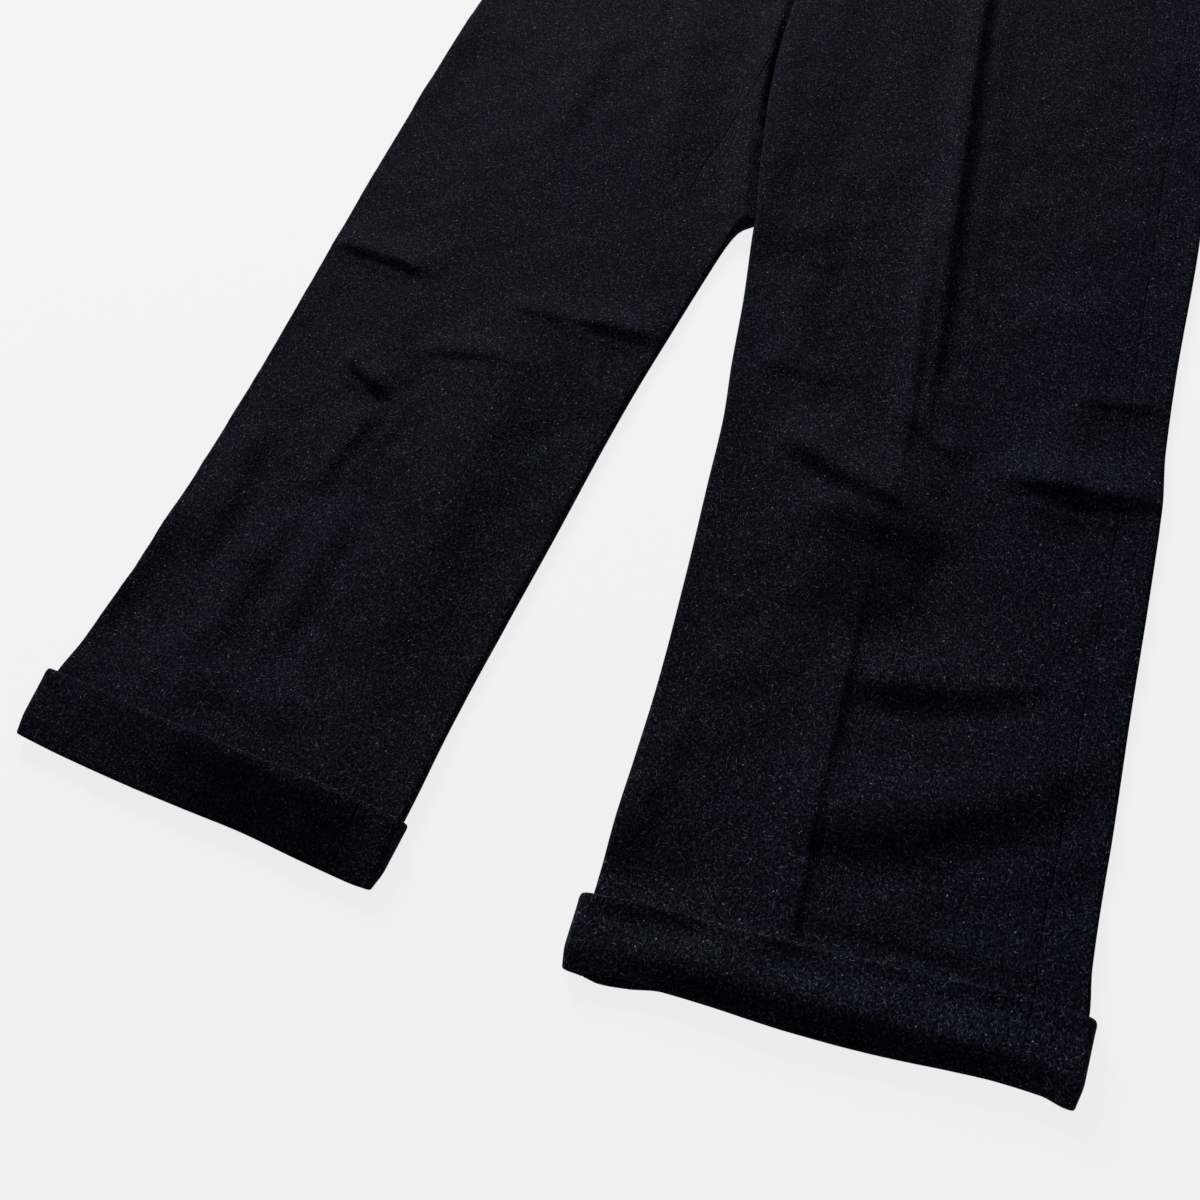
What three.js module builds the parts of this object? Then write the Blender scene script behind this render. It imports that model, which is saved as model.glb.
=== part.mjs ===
// Wide wool trousers with turn-ups, laid flat on their back, in the pieces that a maker would cut:
// two fronts, two backs, a turn-up on each of them, a waistband in two halves and a waist button.
//
// Millimetres. X runs towards the wearer's left, Y from the hems to the waist, Z up from the surface.
// While drafting, Y is 0 at the level of the crotch. The group then moves the origin to the middle of
// the underside's box. "Inner" is the side towards the other leg and "outer" the side away from it.
import * as THREE from "three";

// Cloth and how it lies
const CLOTH = 1.6;
const SEAM_GAP = 0.3;
const FACE_LEVEL = 3.8; // outer face of a front, above the underside of the back that it lies on
const ROLL = 3.2; // how far in from a folded side edge the cloth has turned over
const ROLL_MIDDLE = 2.4; // height of a folded side edge's outermost line
const EDGE_BULGE = 1.3; // a folded side edge springs up this much
const EDGE_REACH = 14;

// The left front laps over the right one from the fly down to just under the crotch
const LAP_START = -158; // it begins to rise here, and lies on the other front from the ramp's end up
const LAP_RAMP = 45;
const LAP_RISE = 4.4;
const LAP_FOLD_RISE = 3.9; // its folded edge rises a little less
const LAP_WIDTH = 82; // it comes down again this far from its edge, over the last part of the width
const LAP_FALL = 52;
const LAP_PRESSED = 0.45; // above the crotch it is pressed down by this share of its rise
const CROTCH_Y = 40; // above this height a leg's inner edge is no longer a fold
const CROTCH_REACH = 60;

// Turn-ups
const TURNUP_CLOTH = 2.6; // two layers, pressed
const TURNUP_ROLL = 5.6;
const TURNUP_MIDDLE = 5.2; // height of a turn-up's outermost line
const TURNUP_LIFT = TURNUP_CLOTH + SEAM_GAP + 0.05; // the leg lies this high inside its turn-up
const LIFT_START = 14; // the leg stays lifted up to here above the turn-up
const LIFT_REACH = 55; // and comes down to the surface over this length
const HEM_LIP = 3; // the leg's cloth ends this far short of the hem fold, which turns in round it

// Waist
const WAIST_Y = 292; // where the side seams meet the waistband
const WAIST_SLOPE = 0.065; // from there the front waist runs down to the middle, and the back up to it
const WAIST_BEND = 150; // above this height the cross sections begin to slope as the waist does
const WAISTBAND_HEIGHT = 38;
const WAIST_TAPER = 0.12; // the waistband narrows upwards by this share of its height on each side
const WAISTBAND_CLOTH = 2.6;
const WAISTBAND_ROLL = 4.2;
const WAISTBAND_MIDDLE = 3.3;
const WAISTBAND_LEVEL = 6.5;
const TAB_REACH = 30; // the left end of the waistband laps this far past the middle
const TAB_RISE = 3.2;
const TAB_RAMP = 24;
const BUTTON_RADIUS = 8;
const BUTTON_HEIGHT = 2.8;

const COLOURS = {
  wool: 0x14171d,
  button: 0x1b1714,
};

// Tables: a header of column names, then one row for each place along the garment
function table(columns, ...rows) {
  return rows.map((row) => Object.fromEntries(columns.map((name, i) => [name, row[i]])));
}

// Side edges, seen from above: y, and the distance from the garment's middle line
const LEFT_INNER = table(
  ["y", "x"],
  [-694, 66], [-652, 65], [-634, 65], [-597, 62], [-517, 58], [-431, 50], [-361, 42], [-312, 36],
  [-262, 27], [-208, 18.5], [-152, 8.5], [-95, -1], [-53, -9], [0, -19], [46, -24], [104, -33],
  [150, -34], [200, -28], [250, -20], [282, -15],
);
const LEFT_OUTER = table(
  ["y", "x"],
  [-674, 340], [-627, 340], [-600, 337], [-520, 334.5], [-450, 331], [-372, 328], [-307, 325],
  [-262, 321], [-188, 318], [-110, 316.5], [-17, 312], [60, 307], [104, 301], [150, 290], [200, 271],
  [250, 243], [292, 215],
);
const RIGHT_INNER = table(
  ["y", "x"],
  [-690, 66], [-650, 63.8], [-620, 61.5], [-574, 59], [-506, 52], [-434, 44], [-357, 37], [-303, 31],
  [-247, 23], [-187, 13.5], [-140, 5], [-100, 0.5], [-50, 0.5], [0, 8], [40, 18], [60, 19], [80, 14],
  [110, 4], [150, 0.5], [306, 0],
);
const RIGHT_OUTER = table(
  ["y", "x"],
  [-672, 342], [-627, 342.5], [-591, 335], [-540, 327.5], [-488, 325], [-433, 321], [-348, 318],
  [-258, 317], [-160, 316], [-91, 314], [-17, 310], [60, 306], [104, 300], [150, 289], [200, 270],
  [250, 242], [292, 214],
);

// How much lower a cross section's inner end lies than its outer end, by the outer end's y
const LEFT_TILT = table(
  ["y", "drop"],
  [-674, 20], [-627, 25], [-560, 15], [-480, 7], [-400, 2], [-320, 0], [150, 0], [292, 0],
);
const RIGHT_TILT = table(
  ["y", "drop"],
  [-672, 17.5], [-627, 21], [-560, 13], [-480, 6], [-400, 2], [-320, 0], [150, 0], [292, 0],
);

// Seams, as distances in from the folded edge: over it onto the face if positive, under it if negative.
// The whole garment lies turned a little, so the left leg's side seam and the right leg's inseam show.
const LEFT_INSEAM = table(
  ["y", "in"],
  [-694, -15], [-300, -17], [-170, -17], [-140, -9], [-112, 0], [282, 0],
);
const RIGHT_INSEAM = table(
  ["y", "in"],
  [-690, 30], [-600, 33], [-400, 41], [-250, 47], [-140, 50], [-90, 51], [-62, 47], [-15, 34], [26, 17],
  [40, 9], [58, 8.5], [80, 9], [104, 14], [150, 9], [200, 6], [292, 4],
);
const RIGHT_BACK_INNER = table( // the right back's own inner edge: up to the inseam, then the seat seam
  ["y", "in"],
  [-690, 30], [-600, 33], [-400, 41], [-250, 47], [-140, 50], [-90, 51], [-62, 47], [-15, 34], [26, 16],
  [38, 7], [56, -3.3], [292, -3.3],
);
const LEFT_BACK_EDGE = table( // x of the left back's inner edge near the crotch, under the left front
  ["y", "x"],
  [-170, 33], [-130, 23], [-90, 14], [-50, 6], [0, -3], [40, -14], [62, -21.6],
);
const CROTCH_TOP = 62;
const INSEAM_TOP = -170; // above this height the left back's inner edge leaves the fold
const LEFT_SIDE_SEAM = table(
  ["y", "in"],
  [-674, 30], [-600, 28], [-440, 26], [-254, 25], [-110, 29], [-25, 30], [94, 27], [150, 18], [220, 9],
  [292, 3],
);
const RIGHT_SIDE_SEAM = table(
  ["y", "in"],
  [-672, -24], [-400, -30], [0, -32], [94, -26], [150, -17], [220, -11], [292, -8],
);

// Pressed creases: where they run, and how high their ridge stands. Above y = 60 they are pleats.
const LEFT_CREASE = table(
  ["y", "x", "rise"],
  [-684, 186, 0.6], [-629, 183, 1.6], [-573, 178, 2.2], [-517, 172, 2.2], [-435, 167, 1.6],
  [-370, 161, 0.6], [-290, 157, 0.8], [-177, 155, 1.6], [-123, 146, 2.2], [-3, 130, 2.8],
  [62, 123, 3.2], [131, 118, 3.6], [200, 112, 3.8], [282, 106, 3.8],
);
const RIGHT_CREASE = table(
  ["y", "x", "rise"],
  [-684, 222, 0.4], [-573, 215, 0.8], [-435, 203, 0.8], [-290, 190, 0.6], [-123, 172, 0.9],
  [-3, 158, 1.4], [62, 146, 2.2], [131, 134, 3.2], [200, 124, 3.8], [282, 112, 3.8],
);
const CREASE_SOFT_SIDE = 15; // the ridge falls away slowly towards the wearer's right
const CREASE_STEEP_SIDE = 4.5;

// The largest folds: a crest from (x1, y1) to (x2, y2), bowed towards the waist by "bow", that falls
// away over "soft" on its waist side and over "steep" on its hem side
const FOLD_COLUMNS = ["x1", "y1", "x2", "y2", "bow", "rise", "soft", "steep"];
const LEFT_FOLDS = table(
  FOLD_COLUMNS,
  [80, -300, 172, -338, -5, 5.2, 26, 9], // inner side of the knee
  [214, -300, 330, -297, -5, 5.6, 24, 9], // outer side of the knee
  [150, -282, 206, -308, 0, 2.2, 16, 8], // between the two
  [258, -238, 322, -229, 0, 1.6, 14, 6], // above the knee, at the side seam
  [70, -262, 128, -250, 0, 1.8, 20, 10], // above the knee, inside
  [168, -466, 284, -430, -8, 3.4, 30, 14], // calf
  [166, -552, 306, -478, -18, 4.8, 36, 15], // shin, rising to the side seam
  [64, -596, 120, -548, 6, 2.6, 22, 14], // inside, above the turn-up
  [180, -392, 320, -372, 0, 2.4, 30, 18], // under the knee
);
const RIGHT_FOLDS = table(
  FOLD_COLUMNS,
  [-322, -226, -192, -232, 0, 2.6, 24, 7], // above the knee, from the side
  [-150, -252, -28, -258, -4, 3.2, 24, 8], // above the knee, from the inside
  [-268, -322, -206, -356, -4, 4.0, 18, 7], // short and sharp, at the knee
  [-212, -330, -122, -308, 10, 2.6, 20, 10], // beside it
  [-310, -430, -250, -500, 0, 2.6, 26, 16], // calf, outside
  [-190, -452, -92, -430, 6, 2.6, 30, 18], // calf, inside
  [-262, -560, -150, -566, 10, 3.0, 34, 18], // shin
  [-110, -560, -62, -500, 0, 2.0, 20, 16], // inside, above the turn-up
);

// Cross sections are cut at these outer-edge y values: closer where folds lie across the legs
const ZONES = table(
  ["from", "to", "cuts"],
  [-700, -616, 2], [-616, -400, 7], [-400, -345, 3], [-345, -270, 8], [-270, -210, 4], [-210, -130, 3],
  [-130, 80, 9], [80, 292, 6],
);

// A cubic through one column of a table, as a function of y, that never overshoots its rows
function curve(rows, column) {
  const last = rows.length - 1;
  const gap = (i) => rows[i + 1].y - rows[i].y;
  const rise = (i) => (rows[i + 1][column] - rows[i][column]) / gap(i);
  const slope = (i) => {
    if (i === 0) return rise(0);
    if (i === last) return rise(last - 1);
    const [before, after] = [rise(i - 1), rise(i)];
    return before * after <= 0 ? 0 : (2 * before * after) / (before + after);
  };
  return (y) => {
    if (y <= rows[0].y) return rows[0][column];
    if (y >= rows[last].y) return rows[last][column];
    const i = rows.findIndex((row, n) => n < last && y <= rows[n + 1].y);
    const h = gap(i);
    const t = (y - rows[i].y) / h;
    const [a, b] = [rows[i][column], rows[i + 1][column]];
    const [ma, mb] = [slope(i) * h, slope(i + 1) * h];
    return a + t * (ma + t * (3 * (b - a) - 2 * ma - mb + t * (2 * (a - b) + ma + mb)));
  };
}

const smooth = (t) => {
  const c = Math.min(1, Math.max(0, t));
  return c * c * (3 - 2 * c);
};
const bell = (t) => Math.exp(-t * t);

// Height that one fold adds at a point: it rises and ends over this share of its length
const FOLD_TAPER = 0.35;
function foldHeight(fold, x, y) {
  const along = new THREE.Vector2(fold.x2 - fold.x1, fold.y2 - fold.y1);
  const length = along.length();
  along.normalize();
  const offset = new THREE.Vector2(x - fold.x1, y - fold.y1);
  const t = offset.dot(along) / length;
  if (t <= 0 || t >= 1) return 0;
  const towardsWaist = along.x * offset.y - along.y * offset.x;
  const n = towardsWaist - fold.bow * 4 * t * (1 - t);
  const taper = smooth(t / FOLD_TAPER) * smooth((1 - t) / FOLD_TAPER);
  return fold.rise * taper * bell(n / (n > 0 ? fold.soft : fold.steep));
}

function creaseHeight(side, x, y) {
  const n = x - side.sign * side.creaseX(y);
  return side.creaseRise(y) * bell(n / (n < 0 ? CREASE_SOFT_SIDE : CREASE_STEEP_SIDE));
}

// How high a leg's underside lies: on the surface, and up inside the turn-up
const legLift = (side, y) =>
  TURNUP_LIFT * smooth((side.turnupTop + LIFT_START + LIFT_REACH - y) / LIFT_REACH);

// Where the left front laps over the right one it lies on it, and comes down again beside it
const lapShare = (y) => smooth((y - LAP_START) / LAP_RAMP);
function lapHeight(x, y) {
  const past = x - left.inner(y);
  const pressed = 1 - LAP_PRESSED * smooth((y - CROTCH_Y) / (2 * LAP_RAMP));
  return LAP_RISE * lapShare(y) * smooth((LAP_WIDTH - past) / LAP_FALL) * pressed;
}

// Outer face of a side's front, with everything that shapes it
function faceHeight(side, x, y) {
  const fromOuter = side.outer(y) - Math.abs(x);
  const fromInner = side.sign * x - side.inner(y);
  const tube = smooth((CROTCH_Y - y) / CROTCH_REACH);
  let z = legLift(side, y) + FACE_LEVEL;
  z += EDGE_BULGE * (bell(fromOuter / EDGE_REACH) + tube * bell(fromInner / EDGE_REACH));
  z += creaseHeight(side, x, y);
  for (const fold of side.folds) z += foldHeight(fold, x, y);
  return side === left ? z + lapHeight(x, y) : z;
}

function makeSide(sign, folds, inner, outer, tilt, crease, turnup) {
  return {
    sign,
    folds,
    inner: curve(inner, "x"),
    outer: curve(outer, "x"),
    drop: curve(tilt, "drop"),
    creaseX: curve(crease, "x"),
    creaseRise: curve(crease, "rise"),
    ...turnup,
  };
}
const left = makeSide(1, LEFT_FOLDS, LEFT_INNER, LEFT_OUTER, LEFT_TILT, LEFT_CREASE, {
  hem: -674,
  turnupTop: -627,
  turnupInner: [57, 60.5], // at the top and at the hem
  turnupOuter: [344.5, 344],
});
const right = makeSide(-1, RIGHT_FOLDS, RIGHT_INNER, RIGHT_OUTER, RIGHT_TILT, RIGHT_CREASE, {
  hem: -672,
  turnupTop: -627,
  turnupInner: [60, 63],
  turnupOuter: [348, 347],
});

// A cross section is a flattened loop. Its outer folded edge is at outer, and its inner end at
// innerFace on the face and innerUnder on the underside, which are one point where the leg is a tube.
function crossSection(side, outerY) {
  const waist = WAIST_SLOPE * smooth((outerY - WAIST_BEND) / (WAIST_Y - WAIST_BEND));
  const end = (slope) => {
    const y = outerY - side.drop(outerY) - slope * (side.outer(outerY) - side.inner(outerY));
    return new THREE.Vector2(side.sign * side.inner(y), y);
  };
  const [innerFace, innerUnder] = [end(waist), end(-waist)];
  const onLap = side === left ? LAP_FOLD_RISE * lapShare(innerFace.y) : 0;
  return {
    outer: new THREE.Vector2(side.sign * side.outer(outerY), outerY),
    innerFace,
    innerUnder,
    roll: ROLL,
    outerMiddle: legLift(side, outerY) + ROLL_MIDDLE,
    innerMiddle: legLift(side, innerFace.y) + ROLL_MIDDLE + onLap,
    face: (x, y) => faceHeight(side, x, y),
    under: (x, y) => legLift(side, y),
  };
}

const quarterOf = (section) => (Math.PI / 2) * section.roll;
const runOf = (section, inner) =>
  inner.distanceTo(section.outer) + 2 * (quarterOf(section) - section.roll);
const faceRun = (section) => runOf(section, section.innerFace);
const underRun = (section) => runOf(section, section.innerUnder);

// Distance round the loop to a point that lies "inward" in from a folded edge
function arc(section, inward) {
  const size = Math.abs(inward);
  const quarter = quarterOf(section);
  const round = size < section.roll ? (size * quarter) / section.roll : quarter + size - section.roll;
  return Math.sign(inward) * round;
}

// A point of the loop. c is the distance round it from the outer edge: positive over the face,
// negative along the underside, and past the inner edge it comes back on the other side.
function loopPoint(section, c, depth) {
  const [faceEnd, underEnd] = [faceRun(section), underRun(section)];
  let round = c;
  if (c > faceEnd) round = c - faceEnd - underEnd;
  else if (c < -underEnd) round = c + underEnd + faceEnd;
  const onFace = round >= 0;
  const inner = onFace ? section.innerFace : section.innerUnder;
  const run = onFace ? faceEnd : underEnd;
  const width = inner.distanceTo(section.outer);
  const [b, quarter, roll] = [Math.abs(round), quarterOf(section), section.roll];
  let inward = roll + b - quarter;
  let turn = 1;
  let middle = 0;
  if (b < quarter) {
    inward = roll - (roll - depth) * Math.cos(b / roll);
    turn = Math.sin(b / roll);
    middle = section.outerMiddle;
  } else if (run - b < quarter) {
    inward = width - roll + (roll - depth) * Math.cos((run - b) / roll);
    turn = Math.sin((run - b) / roll);
    middle = section.innerMiddle;
  }
  const place = section.outer.clone().lerp(inner, inward / width);
  const level = onFace ? section.face(place.x, place.y) - depth : section.under(place.x, place.y) + depth;
  return new THREE.Vector3(place.x, place.y, middle + turn * (level - middle));
}

// A closed wall between two grids of points, the outside one and the inside one
function wall(outside, inside) {
  const [rows, columns] = [outside.length, outside[0].length];
  const points = [...outside.flat(), ...inside.flat()];
  const out = (k, i) => k * columns + i;
  const inn = (k, i) => rows * columns + k * columns + i;
  const index = [];
  const quad = (a, b, c, d) => index.push(a, b, c, a, c, d);
  for (let k = 0; k < rows - 1; k++)
    for (let i = 0; i < columns - 1; i++) {
      quad(out(k, i), out(k, i + 1), out(k + 1, i + 1), out(k + 1, i));
      quad(inn(k, i), inn(k + 1, i), inn(k + 1, i + 1), inn(k, i + 1));
    }
  for (let i = 0; i < columns - 1; i++) {
    quad(out(0, i), inn(0, i), inn(0, i + 1), out(0, i + 1));
    quad(out(rows - 1, i), out(rows - 1, i + 1), inn(rows - 1, i + 1), inn(rows - 1, i));
  }
  for (let k = 0; k < rows - 1; k++) {
    quad(out(k, 0), out(k + 1, 0), inn(k + 1, 0), inn(k, 0));
    quad(out(k, columns - 1), inn(k, columns - 1), inn(k + 1, columns - 1), out(k + 1, columns - 1));
  }
  const geometry = new THREE.BufferGeometry();
  geometry.setAttribute("position", new THREE.Float32BufferAttribute(points.flatMap((p) => p.toArray()), 3));
  geometry.setIndex(signedVolume(points, index) < 0 ? index.reverse() : index);
  geometry.computeVertexNormals();
  return geometry;
}

function signedVolume(points, index) {
  let six = 0;
  const cross = new THREE.Vector3();
  for (let i = 0; i < index.length; i += 3) {
    const [a, b, c] = [points[index[i]], points[index[i + 1]], points[index[i + 2]]];
    six += a.dot(cross.crossVectors(b, c));
  }
  return six / 6;
}

// A wall that follows the loop: "columns" gives the distances round it for each section
function loopWall(sections, columns, cloth) {
  const grid = (depth) => sections.map((s) => columns(s).map((c) => loopPoint(s, c, depth)));
  return wall(grid(0), grid(cloth));
}

// Evenly spaced values from a to b, both included
const spaced = (a, b, steps) => Array.from({ length: steps + 1 }, (_, n) => a + ((b - a) * n) / steps);

// Rising values from one end to the other, kept a hair apart where they would run past either end
const LEAST_STEP = 0.25;
function between(from, values, to) {
  const all = [from, ...values, to];
  const last = all.length - 1;
  const above = all.map((v, i) => Math.max(v, from + LEAST_STEP * i));
  return above.map((v, i) => Math.min(v, to - LEAST_STEP * (last - i)));
}

const seamAt = (rows) => {
  const at = curve(rows, "in");
  return (section, y, gap) => arc(section, at(y)) + gap;
};

function outerYs(start) {
  const ys = [start];
  for (const zone of ZONES) ys.push(...spaced(Math.max(zone.from, start), zone.to, zone.cuts).slice(1));
  return ys;
}

// The places along a front between its seams, with a column on each foot of the crease and on its crest
const CUTS_TO_CREASE = 4;
const CUTS_PAST_CREASE = 5;
function frontFace(side, section, from, to) {
  const creaseX = side.sign * side.creaseX(section.outer.y);
  const inward = Math.abs(section.outer.x - creaseX);
  const crease = quarterOf(section) + inward - section.roll;
  const [steep, soft] = [CREASE_STEEP_SIDE, CREASE_SOFT_SIDE];
  const feet = side.sign > 0 ? [-steep, 0, soft / 2, soft] : [-soft, -soft / 2, 0, steep];
  const places = feet.map((foot) => crease + foot);
  return [
    ...spaced(from, places[0], CUTS_TO_CREASE).slice(0, -1),
    ...places,
    ...spaced(places[3], to, CUTS_PAST_CREASE).slice(1),
  ];
}

const halfGap = SEAM_GAP / 2;
const SEAT_SEAM_X = -ROLL + halfGap; // where the right side's inner edge lies on the middle line
const leftInseam = seamAt(LEFT_INSEAM);
const leftSideSeam = seamAt(LEFT_SIDE_SEAM);
const rightInseam = seamAt(RIGHT_INSEAM);
const rightBackInner = seamAt(RIGHT_BACK_INNER);
const rightSideSeam = seamAt(RIGHT_SIDE_SEAM);
const leftBackEdge = curve(LEFT_BACK_EDGE, "x");

const CUTS_UNDER = 5; // the undersides are flat, so they need few columns
const sectionsOf = (side) => outerYs(side.hem + HEM_LIP).map((y) => crossSection(side, y));

// The left front: from the side seam on the face, over the inner fold and a little way under
function leftFront() {
  const columns = (s) => {
    const from = leftSideSeam(s, s.outer.y, halfGap);
    const [run, quarter] = [faceRun(s), quarterOf(s)];
    const to = run - leftInseam(s, s.innerFace.y, halfGap);
    const face = frontFace(left, s, Math.max(from, quarter), run - quarter);
    const fold = [run - quarter / 2, run, run + quarter / 2, run + quarter];
    return between(from, [...face.slice(1), ...fold], to);
  };
  return loopWall(sectionsOf(left), columns, CLOTH);
}

// The left back: from the side seam over the outer fold, and along the underside to the inseam
function leftBack() {
  const columns = (s) => {
    const from = -leftSideSeam(s, s.outer.y, -halfGap);
    const [run, quarter] = [underRun(s), quarterOf(s)];
    const y = s.innerUnder.y;
    const seatSeam = SEAT_SEAM_X - right.inner(y) + halfGap;
    const edgeX = y < CROTCH_TOP ? leftBackEdge(y) : seatSeam;
    const atInseam = run + leftInseam(s, y, -halfGap);
    const atEdge = run - arc(s, Math.max(ROLL + 0.1, edgeX - s.innerUnder.x));
    const to = y < INSEAM_TOP ? atInseam : atEdge;
    const fold = [-quarter, -quarter / 2, 0, quarter / 2, quarter];
    const flat = spaced(quarter, to, CUTS_UNDER - 1).slice(1, -1);
    return between(from, [(from - quarter) / 2, ...fold, ...flat], to);
  };
  return loopWall(sectionsOf(left), (s) => columns(s).map((c) => -c), CLOTH);
}

// The right front: from the side seam on the underside, over the outer fold to the inseam on the face
function rightFront() {
  const columns = (s) => {
    const from = rightSideSeam(s, s.outer.y, halfGap);
    const quarter = quarterOf(s);
    const to = faceRun(s) - rightInseam(s, s.innerFace.y, halfGap);
    const fold = [-quarter, -quarter / 2, 0, quarter / 2];
    return between(from, [...fold, ...frontFace(right, s, quarter, to).slice(0, -1)], to);
  };
  return loopWall(sectionsOf(right), columns, CLOTH);
}

// The right back: from the side seam along the underside, over the inner fold to the inseam
function rightBack() {
  const columns = (s) => {
    const from = -rightSideSeam(s, s.outer.y, -halfGap);
    const [run, quarter] = [underRun(s), quarterOf(s)];
    const to = run + rightBackInner(s, s.innerUnder.y, -halfGap);
    const flat = spaced(Math.max(from, quarter), run - quarter, CUTS_UNDER - 1);
    const under = [quarter / 2, quarter, ...flat.slice(1)];
    const fold = [run - quarter / 2, run, run + quarter / 2, run + quarter];
    return between(from, [...under, ...fold, (run + quarter + to) / 2], to);
  };
  return loopWall(sectionsOf(right), (s) => columns(s).map((c) => -c), CLOTH);
}

// Turn-ups: up from the hem fold round the outside of the leg. "up" is from the hem, and the two
// depths are where the outside and inside of the double cloth lie, so the top is rounded and the
// hem turns in under the end of the leg's cloth.
const TURNUP_ROWS = table(
  ["up", "outside", "inside"],
  [0, 1.6, 4.7], [1.2, 0.5, 4.2], [2.4, 0.1, TURNUP_CLOTH], [14, 0, TURNUP_CLOTH],
  [30, 0, TURNUP_CLOTH], [43, 0, TURNUP_CLOTH], [45.8, 0.3, TURNUP_CLOTH - 0.2], [47, 1, 2],
);

function turnupSection(side, up) {
  const height = side.turnupTop - side.hem;
  const share = up / height;
  const outerY = side.hem + up;
  const innerY = outerY - side.drop(outerY);
  const at = ([top, hem]) => hem + (top - hem) * share;
  const inner = new THREE.Vector2(side.sign * at(side.turnupInner), innerY);
  return {
    outer: new THREE.Vector2(side.sign * at(side.turnupOuter), outerY),
    innerFace: inner,
    innerUnder: inner,
    roll: TURNUP_ROLL,
    outerMiddle: TURNUP_MIDDLE,
    innerMiddle: TURNUP_MIDDLE,
    face: (x, y) => faceHeight(side, x, y) + TURNUP_LIFT,
    under: () => 0,
  };
}

function turnup(side, columns) {
  const rows = TURNUP_ROWS.map((row) => ({ row, section: turnupSection(side, row.up) }));
  const grid = (face) =>
    rows.map(({ row, section }) => columns(section).map((c) => loopPoint(section, c, row[face])));
  return wall(grid("outside"), grid("inside"));
}

// The pieces of a turn-up meet where the leg's own seams run on down
function turnupPieces(side, { inseam, sideSeam }) {
  const ends = (s) => ({
    sideSeam: arc(s, sideSeam),
    inseam: faceRun(s) - arc(s, inseam),
    quarter: quarterOf(s),
    run: faceRun(s),
  });
  const corner = [-1, -0.5, 0, 0.5, 1];
  const front = (s) => {
    const e = ends(s);
    const outerCorner = sideSeam < 0 ? [e.sideSeam + halfGap, ...corner.map((q) => q * e.quarter)] : [];
    const innerCorner = inseam < 0 ? [...corner.map((q) => e.run + q * e.quarter), e.inseam - halfGap] : [];
    const from = sideSeam < 0 ? e.quarter : e.sideSeam + halfGap;
    const to = inseam < 0 ? e.run - e.quarter : e.inseam - halfGap;
    return [...outerCorner.slice(0, -1), ...frontFace(side, s, from, to), ...innerCorner.slice(1)];
  };
  const back = (s) => {
    const e = ends(s);
    const outerCorner = sideSeam < 0 ? [] : [e.sideSeam - halfGap, ...corner.map((q) => -q * e.quarter)];
    const inseamEnd = e.inseam - 2 * e.run - halfGap;
    const innerCorner = inseam < 0 ? [] : [...corner.map((q) => -e.run - q * e.quarter), inseamEnd];
    const from = sideSeam < 0 ? e.sideSeam - halfGap : -e.quarter;
    const to = inseam < 0 ? inseamEnd : -e.run + e.quarter;
    return [...outerCorner.slice(0, -1), ...spaced(from, to, CUTS_UNDER), ...innerCorner.slice(1)];
  };
  return [turnup(side, front), turnup(side, back)];
}

// Waistband halves, whose loops run on past their cut ends:
// from the middle of the front, round the side fold, to the middle of the back
const PAST_CUT = 2 * WAISTBAND_ROLL;

function waistband(side, frontEnd, backEnd, tabRise) {
  const height = (up) => {
    const outerY = WAIST_Y + SEAM_GAP + up;
    const outer = new THREE.Vector2(side.sign * (side.outer(WAIST_Y) - WAIST_TAPER * up), outerY);
    const end = (cut, slope) => {
      const x = cut - side.sign * PAST_CUT;
      return new THREE.Vector2(x, outerY - slope * Math.abs(outer.x - x));
    };
    return {
      outer,
      innerFace: end(frontEnd, WAIST_SLOPE),
      innerUnder: end(backEnd, -WAIST_SLOPE),
      roll: WAISTBAND_ROLL,
      outerMiddle: WAISTBAND_MIDDLE,
      innerMiddle: WAISTBAND_LEVEL,
      face: (x) => WAISTBAND_LEVEL + tabRise * smooth((TAB_REACH + WAISTBAND_ROLL - x) / TAB_RAMP),
      under: () => 0,
    };
  };
  const columns = (s) => {
    const quarter = quarterOf(s);
    const past = arc(s, PAST_CUT);
    return [
      ...spaced(faceRun(s) - past, quarter, CUTS_TO_CREASE + CUTS_PAST_CREASE),
      ...[0.5, 0, -0.5, -1].map((share) => share * quarter),
      ...spaced(-quarter, past - underRun(s), CUTS_UNDER).slice(1),
    ];
  };
  return loopWall([0, WAISTBAND_HEIGHT / 2, WAISTBAND_HEIGHT].map(height), columns, WAISTBAND_CLOTH);
}

function button() {
  const [r, h] = [BUTTON_RADIUS, BUTTON_HEIGHT];
  const profile = [[0, 0], [r - 1.2, 0], [r, 0.9], [r, h - 0.6], [r - 0.8, h], [r - 2.4, h - 0.5], [0, h - 0.9]];
  const disc = new THREE.LatheGeometry(profile.map(([x, y]) => new THREE.Vector2(x, y)), 28);
  return disc.rotateX(Math.PI / 2);
}

const wool = (name) =>
  new THREE.MeshStandardMaterial({ name, color: COLOURS.wool, roughness: 0.95, metalness: 0 });

function piece(name, geometry, material = wool(name)) {
  const mesh = new THREE.Mesh(geometry, material);
  mesh.name = name;
  return mesh;
}

const [leftFrontTurnup, leftBackTurnup] = turnupPieces(left, { inseam: -15, sideSeam: 34 });
const [rightFrontTurnup, rightBackTurnup] = turnupPieces(right, { inseam: 30, sideSeam: -24 });

const trousers = new THREE.Group();
trousers.add(
  piece("left_front", leftFront()),
  piece("left_back", leftBack()),
  piece("right_front", rightFront()),
  piece("right_back", rightBack()),
  piece("left_front_turnup", leftFrontTurnup),
  piece("left_back_turnup", leftBackTurnup),
  piece("right_front_turnup", rightFrontTurnup),
  piece("right_back_turnup", rightBackTurnup),
  piece("waistband_left", waistband(left, -TAB_REACH, SEAT_SEAM_X + halfGap, TAB_RISE)),
  piece("waistband_right", waistband(right, 0, SEAT_SEAM_X - halfGap, 0)),
);

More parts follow.
